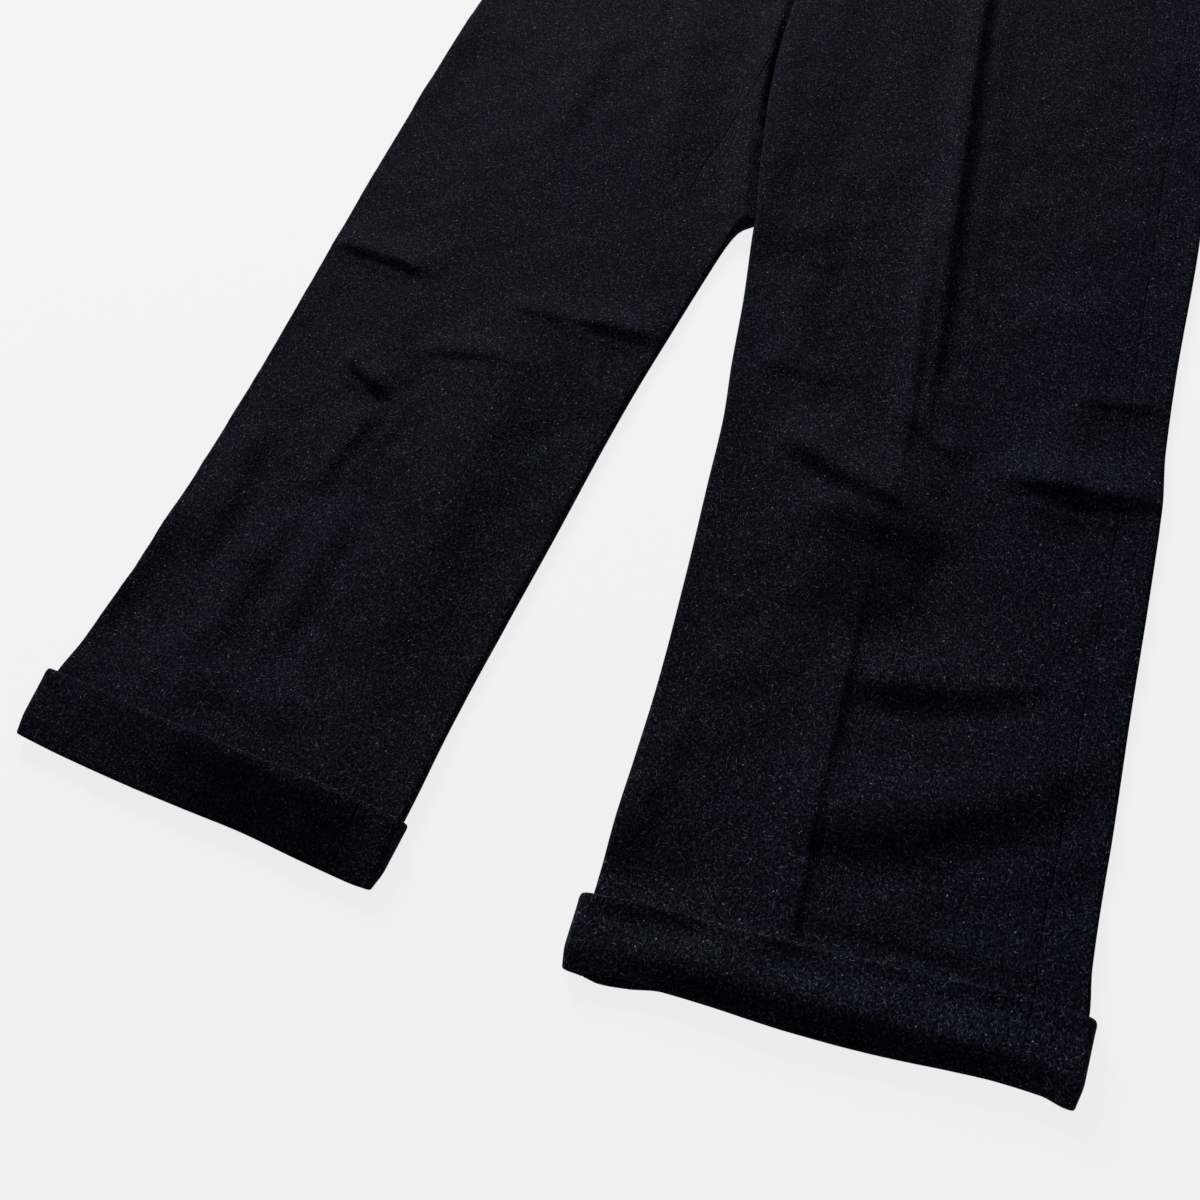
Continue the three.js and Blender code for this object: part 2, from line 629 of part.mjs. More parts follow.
const horn = new THREE.MeshStandardMaterial({ name: "button", color: COLOURS.button, roughness: 0.35 });
const waistButton = piece("waist_button", button(), horn);
waistButton.position.set(
  -TAB_REACH / 2,
  WAIST_Y - WAIST_SLOPE * left.outer(WAIST_Y) + WAISTBAND_HEIGHT / 2,
  WAISTBAND_LEVEL + TAB_RISE + SEAM_GAP,
);
trousers.add(waistButton);

// The origin is the middle of the underside's box
const box = new THREE.Box3().setFromObject(trousers);
const middle = box.getCenter(new THREE.Vector3());
trousers.position.set(-middle.x, -middle.y, -box.min.z);

export default trousers;
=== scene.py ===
"""Dresses the wide wool trousers with turn-ups, which lie flat on their back on a pale surface.

Every cloth piece is a thin shell over the form of its solid. The shells, like the solids, are worked
out from cross sections of the legs: flattened loops that run over the face, round the folded side
edges and along the underside. Sizes are in millimetres until a shell's points are placed.
"""

import math
from types import SimpleNamespace

import bmesh
import bpy
import numpy as np
from bpy.props import FloatProperty, FloatVectorProperty, PointerProperty
from mathutils import Matrix, Vector


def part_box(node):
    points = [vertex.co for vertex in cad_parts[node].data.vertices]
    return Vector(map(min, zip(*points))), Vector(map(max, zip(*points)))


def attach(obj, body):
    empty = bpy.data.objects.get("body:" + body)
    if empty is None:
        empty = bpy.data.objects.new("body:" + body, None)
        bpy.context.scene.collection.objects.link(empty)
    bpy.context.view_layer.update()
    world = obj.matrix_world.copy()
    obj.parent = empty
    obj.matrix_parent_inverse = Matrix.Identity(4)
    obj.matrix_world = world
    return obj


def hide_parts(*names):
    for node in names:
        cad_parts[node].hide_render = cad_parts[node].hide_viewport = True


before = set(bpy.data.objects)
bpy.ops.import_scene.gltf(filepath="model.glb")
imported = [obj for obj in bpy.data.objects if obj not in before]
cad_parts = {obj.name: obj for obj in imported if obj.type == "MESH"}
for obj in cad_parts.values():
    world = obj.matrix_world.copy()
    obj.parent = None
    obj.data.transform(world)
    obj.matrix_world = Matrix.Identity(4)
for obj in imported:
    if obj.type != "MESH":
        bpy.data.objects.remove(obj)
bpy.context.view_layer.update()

bl_info = {
    "name": "Wool trousers",
    "version": (1, 0, 0),
    "blender": (4, 5, 0),
    "location": "3D View > Sidebar > Trousers",
    "description": "Wide wool trousers with turn-ups, laid flat with soft folds",
    "category": "Add Mesh",
}

MM = 0.001


class ClothSizes(bpy.types.PropertyGroup):
    """Sizes of the cloth and of how it lies"""

    thickness: FloatProperty(
        name="Cloth", description="Thickness of the wool in mm", default=1.6, min=1.0, max=3.0
    )
    face_level: FloatProperty(
        name="Face level", description="Height of a front's outer face in mm", default=3.8, min=3.4
    )
    edge_bulge: FloatProperty(
        name="Edge bulge", description="How far a folded side edge springs up, in mm", default=1.3
    )
    ripple: FloatProperty(
        name="Ripple", description="Height of the small uneven waves of the cloth, in mm", default=0.5
    )
    grid: FloatProperty(
        name="Mesh step", description="Distance between the points of a front's mesh, in mm", default=2.7
    )


class ClothColours(bpy.types.PropertyGroup):
    """Colours of the wool and the button"""

    wool_dark: FloatVectorProperty(
        name="Dark wool", description="The darkest fibres", subtype="COLOR",
        default=(0.0008, 0.0012, 0.0022),
    )
    wool_light: FloatVectorProperty(
        name="Light wool", description="The lighter fibres", subtype="COLOR",
        default=(0.0092, 0.0125, 0.0188),
    )
    fibre: FloatVectorProperty(
        name="Fibre", description="Pale hairs in the melange", subtype="COLOR",
        default=(0.078, 0.092, 0.112),
    )
    horn: FloatVectorProperty(
        name="Horn", description="The waist button", subtype="COLOR", default=(0.020, 0.014, 0.010)
    )


class StageSettings(bpy.types.PropertyGroup):
    """Camera, light and floor"""

    azimuth: FloatProperty(
        name="Azimuth", description="Where the camera stands round the part", subtype="ANGLE",
        default=math.radians(36.17),
    )
    elevation: FloatProperty(
        name="Elevation", description="How steeply the camera looks down", subtype="ANGLE",
        default=math.radians(62.65),
    )
    roll: FloatProperty(
        name="Roll", description="How far the camera is turned about its line of sight", subtype="ANGLE",
        default=math.radians(-17.79),
    )
    distance: FloatProperty(
        name="Distance", description="From the camera to the point it looks at", unit="LENGTH", default=0.7989
    )
    lens: FloatProperty(
        name="Lens", description="Focal length in mm on a 36 mm sensor", default=36.22
    )
    floor: FloatProperty(name="Floor", description="Brightness of the pale surface", default=0.896)
    key: FloatProperty(name="Key", description="Power of the soft light, in W", default=215)


# Tables: one array for each named column, with a row for each place along the garment
def table(columns, *rows):
    return dict(zip(columns, np.array(rows, float).T))


# Side edges from above, as distances from the garment's middle line. y is 0 at the crotch.
LEFT_INNER = table(
    ("y", "x"),
    (-694, 66), (-652, 65), (-634, 64), (-597, 61), (-517, 57), (-431, 49.2), (-361, 41.4), (-312, 36),
    (-262, 27), (-208, 18.5), (-152, 8), (-134, 5.4), (-95, -4.4), (-53, -13), (-13, -21), (43, -29),
    (104, -33), (150, -34), (200, -28), (250, -20), (282, -15),
)
LEFT_OUTER = table(
    ("y", "x"),
    (-674, 340), (-627, 340.5), (-600, 337.5), (-520, 335), (-450, 332), (-372, 329.4), (-307, 326.4),
    (-262, 321.6), (-188, 318), (-110, 316.5), (-17, 312), (60, 307), (104, 301), (150, 290), (200, 271),
    (250, 243), (292, 215),
)
RIGHT_INNER = table(
    ("y", "x"),
    (-690, 66), (-650, 63), (-620, 61), (-574, 59.3), (-506, 53), (-434, 45.4), (-357, 38), (-303, 31.7),
    (-247, 23.4), (-187, 14), (-166, 10.4), (-154, 7.6), (-146, 4.8), (-141, 1.4), (-137.5, -3),
    (-135, -8), (-120, -9), (-90, -6), (-50, -2), (0, 7), (40, 18), (60, 19), (80, 14), (110, 4),
    (150, 0.5), (306, 0),
)
RIGHT_OUTER = table(
    ("y", "x"),
    (-672, 342), (-627, 339), (-591, 333), (-540, 326.6), (-488, 324.6), (-433, 322.2), (-348, 319.2),
    (-258, 318.2), (-160, 317), (-91, 315), (-17, 311), (60, 306), (104, 299), (150, 289), (200, 270),
    (250, 242), (292, 214),
)
# How much lower a cross section's inner end lies than its outer end
LEFT_TILT = table(
    ("y", "drop"), (-674, 20), (-627, 25), (-560, 15), (-480, 7), (-400, 2), (-320, 0), (292, 0)
)
RIGHT_TILT = table(
    ("y", "drop"), (-672, 17.5), (-627, 21), (-560, 13), (-480, 6), (-400, 2), (-320, 0), (292, 0)
)
# Seams, as distances in from the folded edge: over it onto the face, or under it if negative
LEFT_INSEAM = table(
    ("y", "in"), (-694, -15), (-300, -17), (-170, -17), (-146, -9), (-122, -0.8), (282, -0.8)
)
RIGHT_INSEAM_BELOW_CROTCH = (
    (-690, 30), (-600, 33), (-400, 41), (-250, 47), (-163, 48), (-140, 56), (-120, 62), (-90, 58),
    (-62, 50), (-15, 35),
)
RIGHT_INSEAM = table(
    ("y", "in"), *RIGHT_INSEAM_BELOW_CROTCH,
    (26, 17), (40, 9), (58, 8.5), (80, 9), (104, 14), (150, 9), (200, 6), (292, 4),
)
RIGHT_BACK_INNER = table(
    ("y", "in"), *RIGHT_INSEAM_BELOW_CROTCH, (26, 16), (38, 7), (56, -3.3), (292, -3.3)
)
LEFT_BACK_EDGE = table(
    ("y", "x"), (-170, 33), (-130, 23), (-90, 14), (-50, 6), (0, -3), (40, -14), (62, -21.6)
)
LEFT_SIDE_SEAM = table(
    ("y", "in"),
    (-674, 30), (-600, 28), (-440, 26), (-254, 25), (-110, 29), (-25, 30), (94, 27), (150, 18), (220, 9),
    (292, 3),
)
RIGHT_SIDE_SEAM = table(
    ("y", "in"), (-672, -24), (-400, -30), (0, -32), (94, -26), (150, -17), (220, -11), (292, -8)
)
CROTCH_TOP = 62  # up to here the left back ends at the inseam's edge, and above it at the seat seam
INSEAM_TOP = -170  # up to here the left back's inseam runs along the folded edge

# Pressed creases. Above y = 60 they stand up as pleats.
LEFT_CREASE = table(
    ("y", "x", "rise"),
    (-684, 185, 0.3), (-650, 182, 0.5), (-632, 180, 3.4), (-598, 177, 4.7), (-559, 173, 5.0),
    (-509, 170, 5.0), (-470, 167, 4.4), (-430, 164, 2.8), (-392, 162, 1.2), (-330, 161, 0.9),
    (-270, 163, 0.3), (-211, 165, 0.4), (-166, 158, 0.2), (-113, 148, 0.1), (-29, 138, 0.1),
    (62, 127, 0.4), (131, 120, 2.4), (200, 112, 4.2), (282, 106, 3.8),
)
RIGHT_CREASE = table(
    ("y", "x", "rise"),
    (-684, 222, 0.0), (-573, 215, 0.1), (-435, 203, 0.1), (-290, 190, 0.1), (-123, 172, 0.1),
    (-3, 158, 0.3), (62, 146, 0.9), (131, 134, 2.6), (200, 124, 3.8), (282, 112, 3.8),
)
CREASE_SOFT_SIDE = 15
CREASE_STEEP_SIDE = 4.3

# Folds: a crest from (x1, y1) to (x2, y2), bowed towards the waist by "bow". It falls away over
# "soft" on its waist side and over "steep" on its hem side. "crest" 2 is round, and 1 is sharp.
FOLD_COLUMNS = ("x1", "y1", "x2", "y2", "bow", "rise", "soft", "steep", "crest")
LEFT_FOLDS = (
    (62, -302, 206, -354, -9, 11.8, 28, 8.8, 1.8),  # inner side of the knee
    (206, -307, 338, -302, -5, 8.4, 22, 6.9, 1.6),  # outer side of the knee
    (140, -270, 208, -308, -2, 3.8, 12, 4.6, 1.5),  # between the two
    (250, -239, 322, -232, 0, 2.9, 11, 3.6, 1.5),  # above the knee, at the side seam
    (38, -256, 110, -262, 0, 3.4, 18, 6, 1.8),  # above the knee, inside
    (86, -368, 226, -362, 0, 9.6, 18, 23, 2),  # a round one under the knee
    (108, -400, 206, -404, 0, 5.0, 16, 26, 2),
    (146, -473, 300, -432, -13, 8.0, 30, 13, 1.9),  # calf
    (132, -568, 334, -458, -29, 9.8, 38, 19, 1.9),  # shin, rising to the side seam
    (158, -572, 268, -562, -3, 4.4, 20, 15, 2),
    (66, -660, 82, -500, 0, 4.6, 18, 12, 2),  # inside, down to the turn-up
    (104, -634, 336, -612, 3, 2.4, 12, 7, 1.9),  # along the turn-up
    (-20, -683, 430, -652, 0, 5.4, 27, 11.5, 2),  # the turn-up bulges and rolls under at the hem
    (66, -420, 120, -396, 4, 2.6, 18, 12, 2),
    (70, -500, 140, -470, -4, 2.8, 24, 14, 2),
    (196, -180, 300, -160, 0, 2.2, 26, 18, 2),
    (40, -90, 120, -60, 0, 2.2, 24, 18, 2),
    (168, -348, 126, -56, 0, 6.4, 10, 4.8, 1.7),  # beside the crease, above the knee
    (176, -325, 101, 250, 0, 10.0, 13, 8.4, 1.8),  # the pleat, down from the waist
    (70, -300, 58, -60, 0, 2.2, 20, 12, 2),
    (262, -420, 262, -120, 0, 2.0, 24, 16, 2),
    (22, -190, -34, 130, -2, 2.6, 12, 12, 2),  # along the lap
)
RIGHT_FOLDS = (
    (-332, -229, -206, -244, 3, 5.4, 18, 4.0, 1.5),  # above the knee, from the side
    (-110, -254, -18, -258, -2, 6.4, 18, 4.6, 1.5),  # above the knee, from the inside
    (-266, -320, -200, -358, -4, 8.0, 14, 4.4, 1.5),  # short and sharp, at the knee
    (-216, -312, -106, -310, 6, 4.0, 14, 6, 1.6),  # beside it
    (-160, -253, -90, -262, 0, 3.4, 12, 5, 1.7),
    (-226, -450, -204, -354, 5, 4.4, 18, 8, 1.8),
    (-284, -530, -294, -376, 0, 6.4, 24, 13, 2),  # down the outer calf
    (-336, -610, -314, -460, 0, 5.4, 14, 14, 2),  # at the side seam
    (-243, -616, -240, -452, 0, 7.0, 26, 14, 2),  # down the shin
    (-205, -600, -190, -420, 0, 5.6, 22, 13, 2),
    (-126, -670, -118, -190, 6, 9.0, 44, 32, 2),  # down the inside
    (-262, -606, -140, -604, 6, 4.0, 26, 16, 2),  # above the turn-up
    (-400, -620, -10, -656, 0, 5.0, 46, 30, 2),  # over the turn-up, whose hem lies low
    (-122, 120, -80, -124, 4, 5.0, 22, 14, 2),  # down from the lap
    (46.6, -272, -39.8, 190, 24.3, 9.4, 16, 4.1, 2.3),  # beside the lap
    (-184, -110, -168, 70, 0, 3.8, 22, 14, 2),
    (-306, -100, -296, 110, 0, 3.6, 20, 16, 2),
    (-230, -200, -228, -60, 0, 2.6, 26, 20, 2),
)
CREST_ENDS = 0.35  # a fold rises and ends over this share of its length
# Beyond a fold's steep side the cloth swells: by a share of the rise, at so many times "steep" away
SWELL = 0.2
SWELL_AT = 2.4
SWELL_WIDTH = 0.9
# A front's hollows go no lower than this, and level out softly there
SETTLE_LOW = -0.4
SETTLE_SOFT = 0.22
# Small waves of the fronts: the length, the random seed and the share of the ripple's height
FRONT_WAVES = ((74, 3, 1), (31, 5, 0.5), (11, 8, 0.16))
# Shallow hollows of the underside: the waves' length and seed, where they start, and their depth
UNDER_HOLLOWS = ((90, 11, 0.35, 0.3), (34, 17, 0.9, 0.16))
UNDER_FADE = 30  # the hollows begin over this distance, above the turn-up
# The stitch that holds the left turn-up: its place, its dip and the ring of puckers round it
TACK_AT = (299, -612)
TACK_DIP, TACK_DIP_REACH = 1.6, 2.6
PUCKERS, PUCKERS_TURN, PUCKER_RISE = 5, 0.6, 0.5
PUCKERS_AT, PUCKERS_REACH = 6, 4

# Seams between the pieces
SEAM_GAP = 0.3  # between the solids
SHELL_GAP = 0.05  # between a shell's edge and the seam line
HALF_GAP = SEAM_GAP / 2
SEAM_ROUND = 1.1
SEAM_DIP = 0.6
INSEAM_SHOWS = 0.12  # the right inseam's depth down the leg, as a share of its depth at the crotch
INSEAM_FADE_FROM = -150
INSEAM_FADE_OVER = 90
# The seam allowances under the cloth show as a faint ridge this far from the seam
ALLOWANCE = 8
ALLOWANCE_RISE = 0.22
ALLOWANCE_WIDTH = 2.6

# Turn-ups
TURNUP_CLOTH = 2.6  # two layers
TURNUP_ROLL = 5.6
TURNUP_MIDDLE = 5.2
TURNUP_STEP = 2.2  # distance between the points of its mesh
TURNUP_LIFT = TURNUP_CLOTH + SEAM_GAP + SHELL_GAP  # of the leg inside the turn-up
# The leg is lifted in full up to this far above the turn-up's top, and comes down over the reach
LIFT_START = 14
LIFT_REACH = 55
LEG_START = 7  # the leg's cloth starts this far above the hem, in the turn-up's lip
# Round a turn-up's cloth from its lip inside the hem up to its top: the outside, then the inside
TURNUP_PROFILE = table(
    ("out_up", "out_depth", "in_up", "in_depth"),
    (1.0, 4.6, 1.7, 4.65), (0.3, 4.1, 2.1, 4.5), (0.0, 3.4, 2.6, 4.3), (0.3, 2.7, 3.2, 4.1),
    (1.2, 2.2, 4.0, 3.9), (2.8, 1.9, 5.2, 3.7), (5.0, 1.5, 6.8, 3.5), (7.6, 1.0, 8.6, 3.2),
    (10.5, 0.5, 11.0, 2.8), (14.0, 0.1, 14.2, 2.6), (41.0, -0.1, 41.0, 2.6),
    (43.4, -0.2, 43.2, 2.6), (45.0, -0.1, 44.8, 2.5), (46.2, 0.25, 45.8, 2.3), (46.8, 0.7, 46.4, 2.0),
    (47.0, 1.3, 46.7, 1.7),
)
TURNUP_BODY_ROWS = 14  # between the hem's rounding and the top's
# How far a turn-up's top and hem lines stray up from straight on the front, how far its hem strays at
# the back, and how far its top edge stands off the leg, by share of the way from inner to outer
LEFT_TURNUP_LINES = table(
    ("share", "top", "hem", "back", "rim"),
    (0.0, 0.4, -1.2, -1.0, 1.4), (0.05, 0.8, -0.8, -2.4, 4.6), (0.10, 1.2, 0.4, -4.4, 6.2),
    (0.15, 1.6, 2.0, -3.0, 6.2), (0.22, 1.9, 2.2, 0.8, 5.0), (0.31, 1.6, 1.2, 0.5, 2.2),
    (0.40, 1.2, 0.0, -0.6, 4.0), (0.47, 1.4, -0.7, -1.2, 3.8), (0.54, 1.6, -0.7, -1.2, 1.6),
    (0.61, 2.0, -0.2, -0.8, 3.6), (0.68, 2.4, 0.8, 0.2, 2.2), (0.77, 2.5, 2.8, 2.0, 3.8),
    (0.85, 2.6, 4.0, 3.0, 3.2), (0.93, 1.6, 3.0, 2.4, 1.8), (0.98, 0.6, -0.4, -0.4, 1.0),
    (1.0, -0.4, -0.6, -0.4, 0.8),
)
RIGHT_TURNUP_LINES = table(
    ("share", "top", "hem", "back", "rim"),
    (0.0, -0.6, -0.6, -0.6, 1.6), (0.08, 0.6, -2.4, -2.4, 4.6), (0.2, 0.6, -2.0, -2.0, 6.4),
    (0.36, -0.4, -0.8, -0.8, 7.0), (0.52, -1.0, -2.0, -2.0, 6.8), (0.7, -1.6, -2.8, -2.8, 5.4),
    (0.86, 0.2, -2.4, -2.4, 4.4), (1.0, -0.6, -0.8, -0.8, 0.8),
)
# Up to the first height a turn-up's points are the underside's, and past the second the face's
UNDER_TO, FACE_FROM = 2, 6
UNDER_TOP = 0.4  # the share of the top line's straying that the underside has

# The left front laps over the right one from the fly down to just under the crotch
LAP_START = -176
LAP_RAMP = 44  # it rises to its full height over this distance
LAP_RISE = 5.2  # of the face
LAP_FOLD_RISE = 4.7  # of its folded edge
LAP_WIDTH = 82  # from its folded edge to where the cloth is down again
LAP_FALL = 52  # the last part of that width, where it comes down
LAP_PRESSED = 0.45  # the share of the rise that is pressed flat towards the waist
CROTCH_Y = 40  # the legs are tubes of their own below here
CROTCH_REACH = 60

# Folded edges
ROLL = 3.2
ROLL_MIDDLE = 2.4
EDGE_REACH = 14
PAST_ROLL = 0.1  # the left back's edge stays at least this far past the fold's roll
SEAT_SEAM_X = HALF_GAP - ROLL
BACK_COARSER = 1.35  # how many times a front's step the step of a back's mesh is
# Widths of the plain stretches of each piece, which are cut into even steps
LEFT_FRONT_WIDTHS, RIGHT_FRONT_WIDTHS = (125, 105), (115, 90)
BACK_WIDTH, TURNUP_WIDTH, WAISTBAND_WIDTH = 270, 260, 200

# Waist
WAIST_Y = 292
WAIST_HALF_WIDTH = 215
WAIST_SLOPE = 0.065
WAIST_BEND = 150
WAIST_TAPER = 0.12
WAISTBAND_HEIGHT = 38
WAISTBAND_CLOTH = 2.6
WAISTBAND_ROLL = 4.2
WAISTBAND_MIDDLE = 3.3
WAISTBAND_LEVEL = 6.5
WAISTBAND_STEP = 2.4
WAISTBAND_EDGE_ROWS = np.array((0, 0.3, 0.8, 1.5))  # close rows that round the long edges
WAISTBAND_BODY_ROWS = 13
WAISTBAND_TURN = 0.9  # how far its inside comes out at the edges
# Waves of the waistband's face and underside: the length, the random seed and the height
BAND_FACE_WAVE, BAND_UNDER_WAVE = (45, 23, 0.25), (60, 29, 0.12)
TOPSTITCH_IN, TOPSTITCH_WIDTH, TOPSTITCH_DIP = 2.2, 0.8, 0.35
# The waistband's end laps over as a tab: how far, how high, and over what distance it climbs
TAB_REACH = 30
TAB_RISE = 3.2
TAB_RAMP = 24

# Waist button: its half section, as shares of the radius and of the thickness
BUTTON_PROFILE = (
    (0, 0), (0.86, 0), (1.0, 0.35), (1.0, 0.7), (0.93, 0.95), (0.84, 1.0), (0.72, 0.9), (0.62, 0.74),
    (0.0, 0.7),
)
BUTTON_SIDES = 64

# Pale hairs that stand out of the nap, on each leg
HAIRS = 420
HAIR_POINTS = 5
HAIR_LENGTHS = (1.2, 3.4)
HAIR_HEIGHTS = (-620, 240)  # from the turn-ups up to the hips
HAIR_BEND = 0.9
HAIR_LIFT, HAIR_ARCH = 0.12, 0.22
HAIR_RADIUS = 0.00009  # in metres
HAIRS_INSIDE = 0.8  # the share of them that lies anywhere. The others lie along the side edges.
HAIRS_FROM_INNER, HAIRS_FROM_OUTER = 4, 3
# Bits of lint: place and length
LINT = ((293, -405, 1.5), (272, -421, 1.6), (300, -616, 1.4), (120, -560, 2.6), (-120, -470, 1.2))

# Stage
LOOKS_AT = (0.2, -465.7, 0)
SENSOR = 36
LIGHT_FROM = (-0.58, 0.76, 0.47)
LIGHT_AWAY = 3.6  # in metres, like the next three
LIGHT_SIZE = 1.0
FLOOR_REACH = 6
FLOOR_DROP = 0.0002
FLOOR_SHADED = 0.07  # the part of the floor's brightness that shadows take away
SKY = 0.17

# The frame's origin is the middle of the box, and the button's place gives the crotch's
BUTTON_AT = (-TAB_REACH / 2, WAIST_Y - WAIST_SLOPE * WAIST_HALF_WIDTH + WAISTBAND_HEIGHT / 2)
button_low, button_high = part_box("waist_button")
CROTCH = (button_low + button_high) / 2 / MM - Vector((*BUTTON_AT, 0))
CROTCH.z = 0


def curve(rows, column, at, key="y"):
    """A smooth curve through one column of a table that never overshoots its rows"""
    places, values = rows[key], rows[column]
    step = np.diff(places)
    rise = np.diff(values) / step
    before, after = rise[:-1], rise[1:]
    product = before * after
    total = np.where(product > 0, before + after, 1)
    slope = np.concatenate((rise[:1], np.where(product > 0, 2 * product / total, 0), rise[-1:]))
    at = np.clip(at, places[0], places[-1])
    i = np.clip(np.searchsorted(places, at) - 1, 0, len(step) - 1)
    t = (at - places[i]) / step[i]
    a, b = values[i], values[i + 1]
    start, end = slope[i] * step[i], slope[i + 1] * step[i]
    return a + t * (start + t * (3 * (b - a) - 2 * start - end + t * (2 * (a - b) + start + end)))


def smooth(t):
    c = np.clip(t, 0, 1)
    return c * c * (3 - 2 * c)


def bell(t, power=2):
    return np.exp(-np.abs(t) ** power)


def ripple(x, y, length, seed):
    """Small uneven waves between about -1 and 1, of about this wavelength in mm"""
    draw = np.random.default_rng(seed)
    total = np.zeros(np.broadcast(x, y).shape)
    waves = 9
    for _ in range(waves):
        turn, phase, stretch = draw.uniform(0, math.pi), draw.uniform(0, math.tau), draw.uniform(0.6, 1.6)
        reach = math.tau / (length * stretch)
        total += np.sin(reach * (x * math.cos(turn) + y * math.sin(turn)) + phase)
    return total / math.sqrt(waves)


def settled(relief):
    """Keeps the hollows of a front off the back that lies under it"""
    return SETTLE_SOFT * np.logaddexp(0, (relief - SETTLE_LOW) / SETTLE_SOFT) + SETTLE_LOW


def fold_height(folds, x, y):
    """Height that the folds add at each point, with the swell beyond each steep side"""
    total = np.zeros(np.broadcast(x, y).shape)
    for row in folds:
        f = SimpleNamespace(**dict(zip(FOLD_COLUMNS, row)))
        length = math.hypot(f.x2 - f.x1, f.y2 - f.y1)
        dx, dy = (f.x2 - f.x1) / length, (f.y2 - f.y1) / length
        t = ((x - f.x1) * dx + (y - f.y1) * dy) / length
        n = dx * (y - f.y1) - dy * (x - f.x1) - f.bow * 4 * t * (1 - t)
        ends = smooth(t / CREST_ENDS) * smooth((1 - t) / CREST_ENDS)
        total += f.rise * ends * np.where(n > 0, bell(n / f.soft), bell(n / f.steep, f.crest))
        total += SWELL * f.rise * ends * bell((n + SWELL_AT * f.steep) / (SWELL_WIDTH * f.steep))
    return total


class Leg:
    """One side of the trousers, from the hem to the waist"""

    def __init__(self, sign, inner, outer, tilt, crease, folds, turnup):
        self.sign = sign
        self.folds = folds
        self.tables = SimpleNamespace(inner=inner, outer=outer, tilt=tilt, crease=crease)
        self.turnup = turnup

    def inner(self, y):
        return curve(self.tables.inner, "x", y)

    def outer(self, y):
        return curve(self.tables.outer, "x", y)

    def drop(self, y):
        return curve(self.tables.tilt, "drop", y)

    def crease_x(self, y):
        return self.sign * curve(self.tables.crease, "x", y)

    def lift(self, y):
        """How high the underside lies: on the surface, and up inside the turn-up"""
        return TURNUP_LIFT * smooth((self.turnup.top + LIFT_START + LIFT_REACH - y) / LIFT_REACH)

    def face(self, x, y):
        """Outer face of the front"""
        cloth = bpy.context.scene.trousers_cloth
        from_outer = self.outer(y) - np.abs(x)
        from_inner = self.sign * x - self.inner(y)
        tube = smooth((CROTCH_Y - y) / CROTCH_REACH)
        z = self.lift(y) + cloth.face_level
        z = z + cloth.edge_bulge * (bell(from_outer / EDGE_REACH) + tube * bell(from_inner / EDGE_REACH))
        n = x - self.crease_x(y)
        side = np.where(n < 0, bell(n / CREASE_SOFT_SIDE), bell(n / CREASE_STEEP_SIDE, 1.5))
        relief = curve(self.tables.crease, "rise", y) * side + fold_height(self.folds, x, y)
        waves = sum(share * ripple(x, y, length, seed) for length, seed, share in FRONT_WAVES)
        z = z + settled(relief + cloth.ripple * waves + self.tack(x, y))
        if self.sign > 0:
            past = x - self.inner(y)
            pressed = 1 - LAP_PRESSED * smooth((y - CROTCH_Y) / (2 * LAP_RAMP))
            z = z + LAP_RISE * lap_share(y) * smooth((LAP_WIDTH - past) / LAP_FALL) * pressed
        return z

    def tack(self, x, y):
        """The stitch that holds the left turn-up at the side seam pulls the cloth in a little"""
        if self.sign < 0:
            return 0
        dx, dy = x - TACK_AT[0], y - TACK_AT[1]
        away = np.hypot(dx, dy)
        ring = np.cos(PUCKERS * np.arctan2(dy, dx) + PUCKERS_TURN)
        puckers = PUCKER_RISE * ring * bell((away - PUCKERS_AT) / PUCKERS_REACH)
        return puckers - TACK_DIP * bell(away / TACK_DIP_REACH)

    def under(self, x, y):
        """Outer face of the back, which rests on the surface and has a few shallow hollows"""
        hollow = sum(
            smooth(ripple(x, y, length, seed) - start) * depth
            for length, seed, start, depth in UNDER_HOLLOWS
        )
        return self.lift(y) + hollow * smooth((y - self.turnup.top - LIFT_START - LIFT_REACH) / UNDER_FADE)


def lap_share(y):
    return smooth((y - LAP_START) / LAP_RAMP)


left = Leg(
    1, LEFT_INNER, LEFT_OUTER, LEFT_TILT, LEFT_CREASE, LEFT_FOLDS,
    SimpleNamespace(
        hem=-674, top=-627, inner=(59.6, 57.8), outer=(344.4, 344.8), inseam=-15, side_seam=34,
        lines=LEFT_TURNUP_LINES, rim_reach=13, rim_curl=1.4,
    ),
)
right = Leg(
    -1, RIGHT_INNER, RIGHT_OUTER, RIGHT_TILT, RIGHT_CREASE, RIGHT_FOLDS,
    SimpleNamespace(
        hem=-672, top=-627, inner=(63, 59.6), outer=(346, 345.4), inseam=30, side_seam=-24,
        lines=RIGHT_TURNUP_LINES, rim_reach=38, rim_curl=1.3,
    ),
)


def pair(x, y):
    return np.stack(np.broadcast_arrays(x, y), axis=-1)


def leg_sections(leg, outer_y):
    """Cross sections of a leg, one for each height of its outer edge"""
    outer_y = np.asarray(outer_y, float)[:, None]
    waist = WAIST_SLOPE * smooth((outer_y - WAIST_BEND) / (WAIST_Y - WAIST_BEND))
    width = leg.outer(outer_y) - leg.inner(outer_y)
    level = outer_y - leg.drop(outer_y)

    def end(slope):
        y = level - slope * width
        return pair(leg.sign * leg.inner(y), y)

    inner_face, inner_under = end(waist), end(-waist)
    on_lap = LAP_FOLD_RISE * lap_share(inner_face[..., 1]) if leg.sign > 0 else 0
    return SimpleNamespace(
        y=outer_y,
        outer=pair(leg.sign * leg.outer(outer_y), outer_y),
        inner_face=inner_face,
        inner_under=inner_under,
        roll=ROLL,
        outer_middle=leg.lift(outer_y) + ROLL_MIDDLE,
        inner_middle=leg.lift(inner_face[..., 1]) + ROLL_MIDDLE + on_lap,
        face=leg.face,
        under=leg.under,
    )


def quarter(s):
    return math.pi / 2 * s.roll


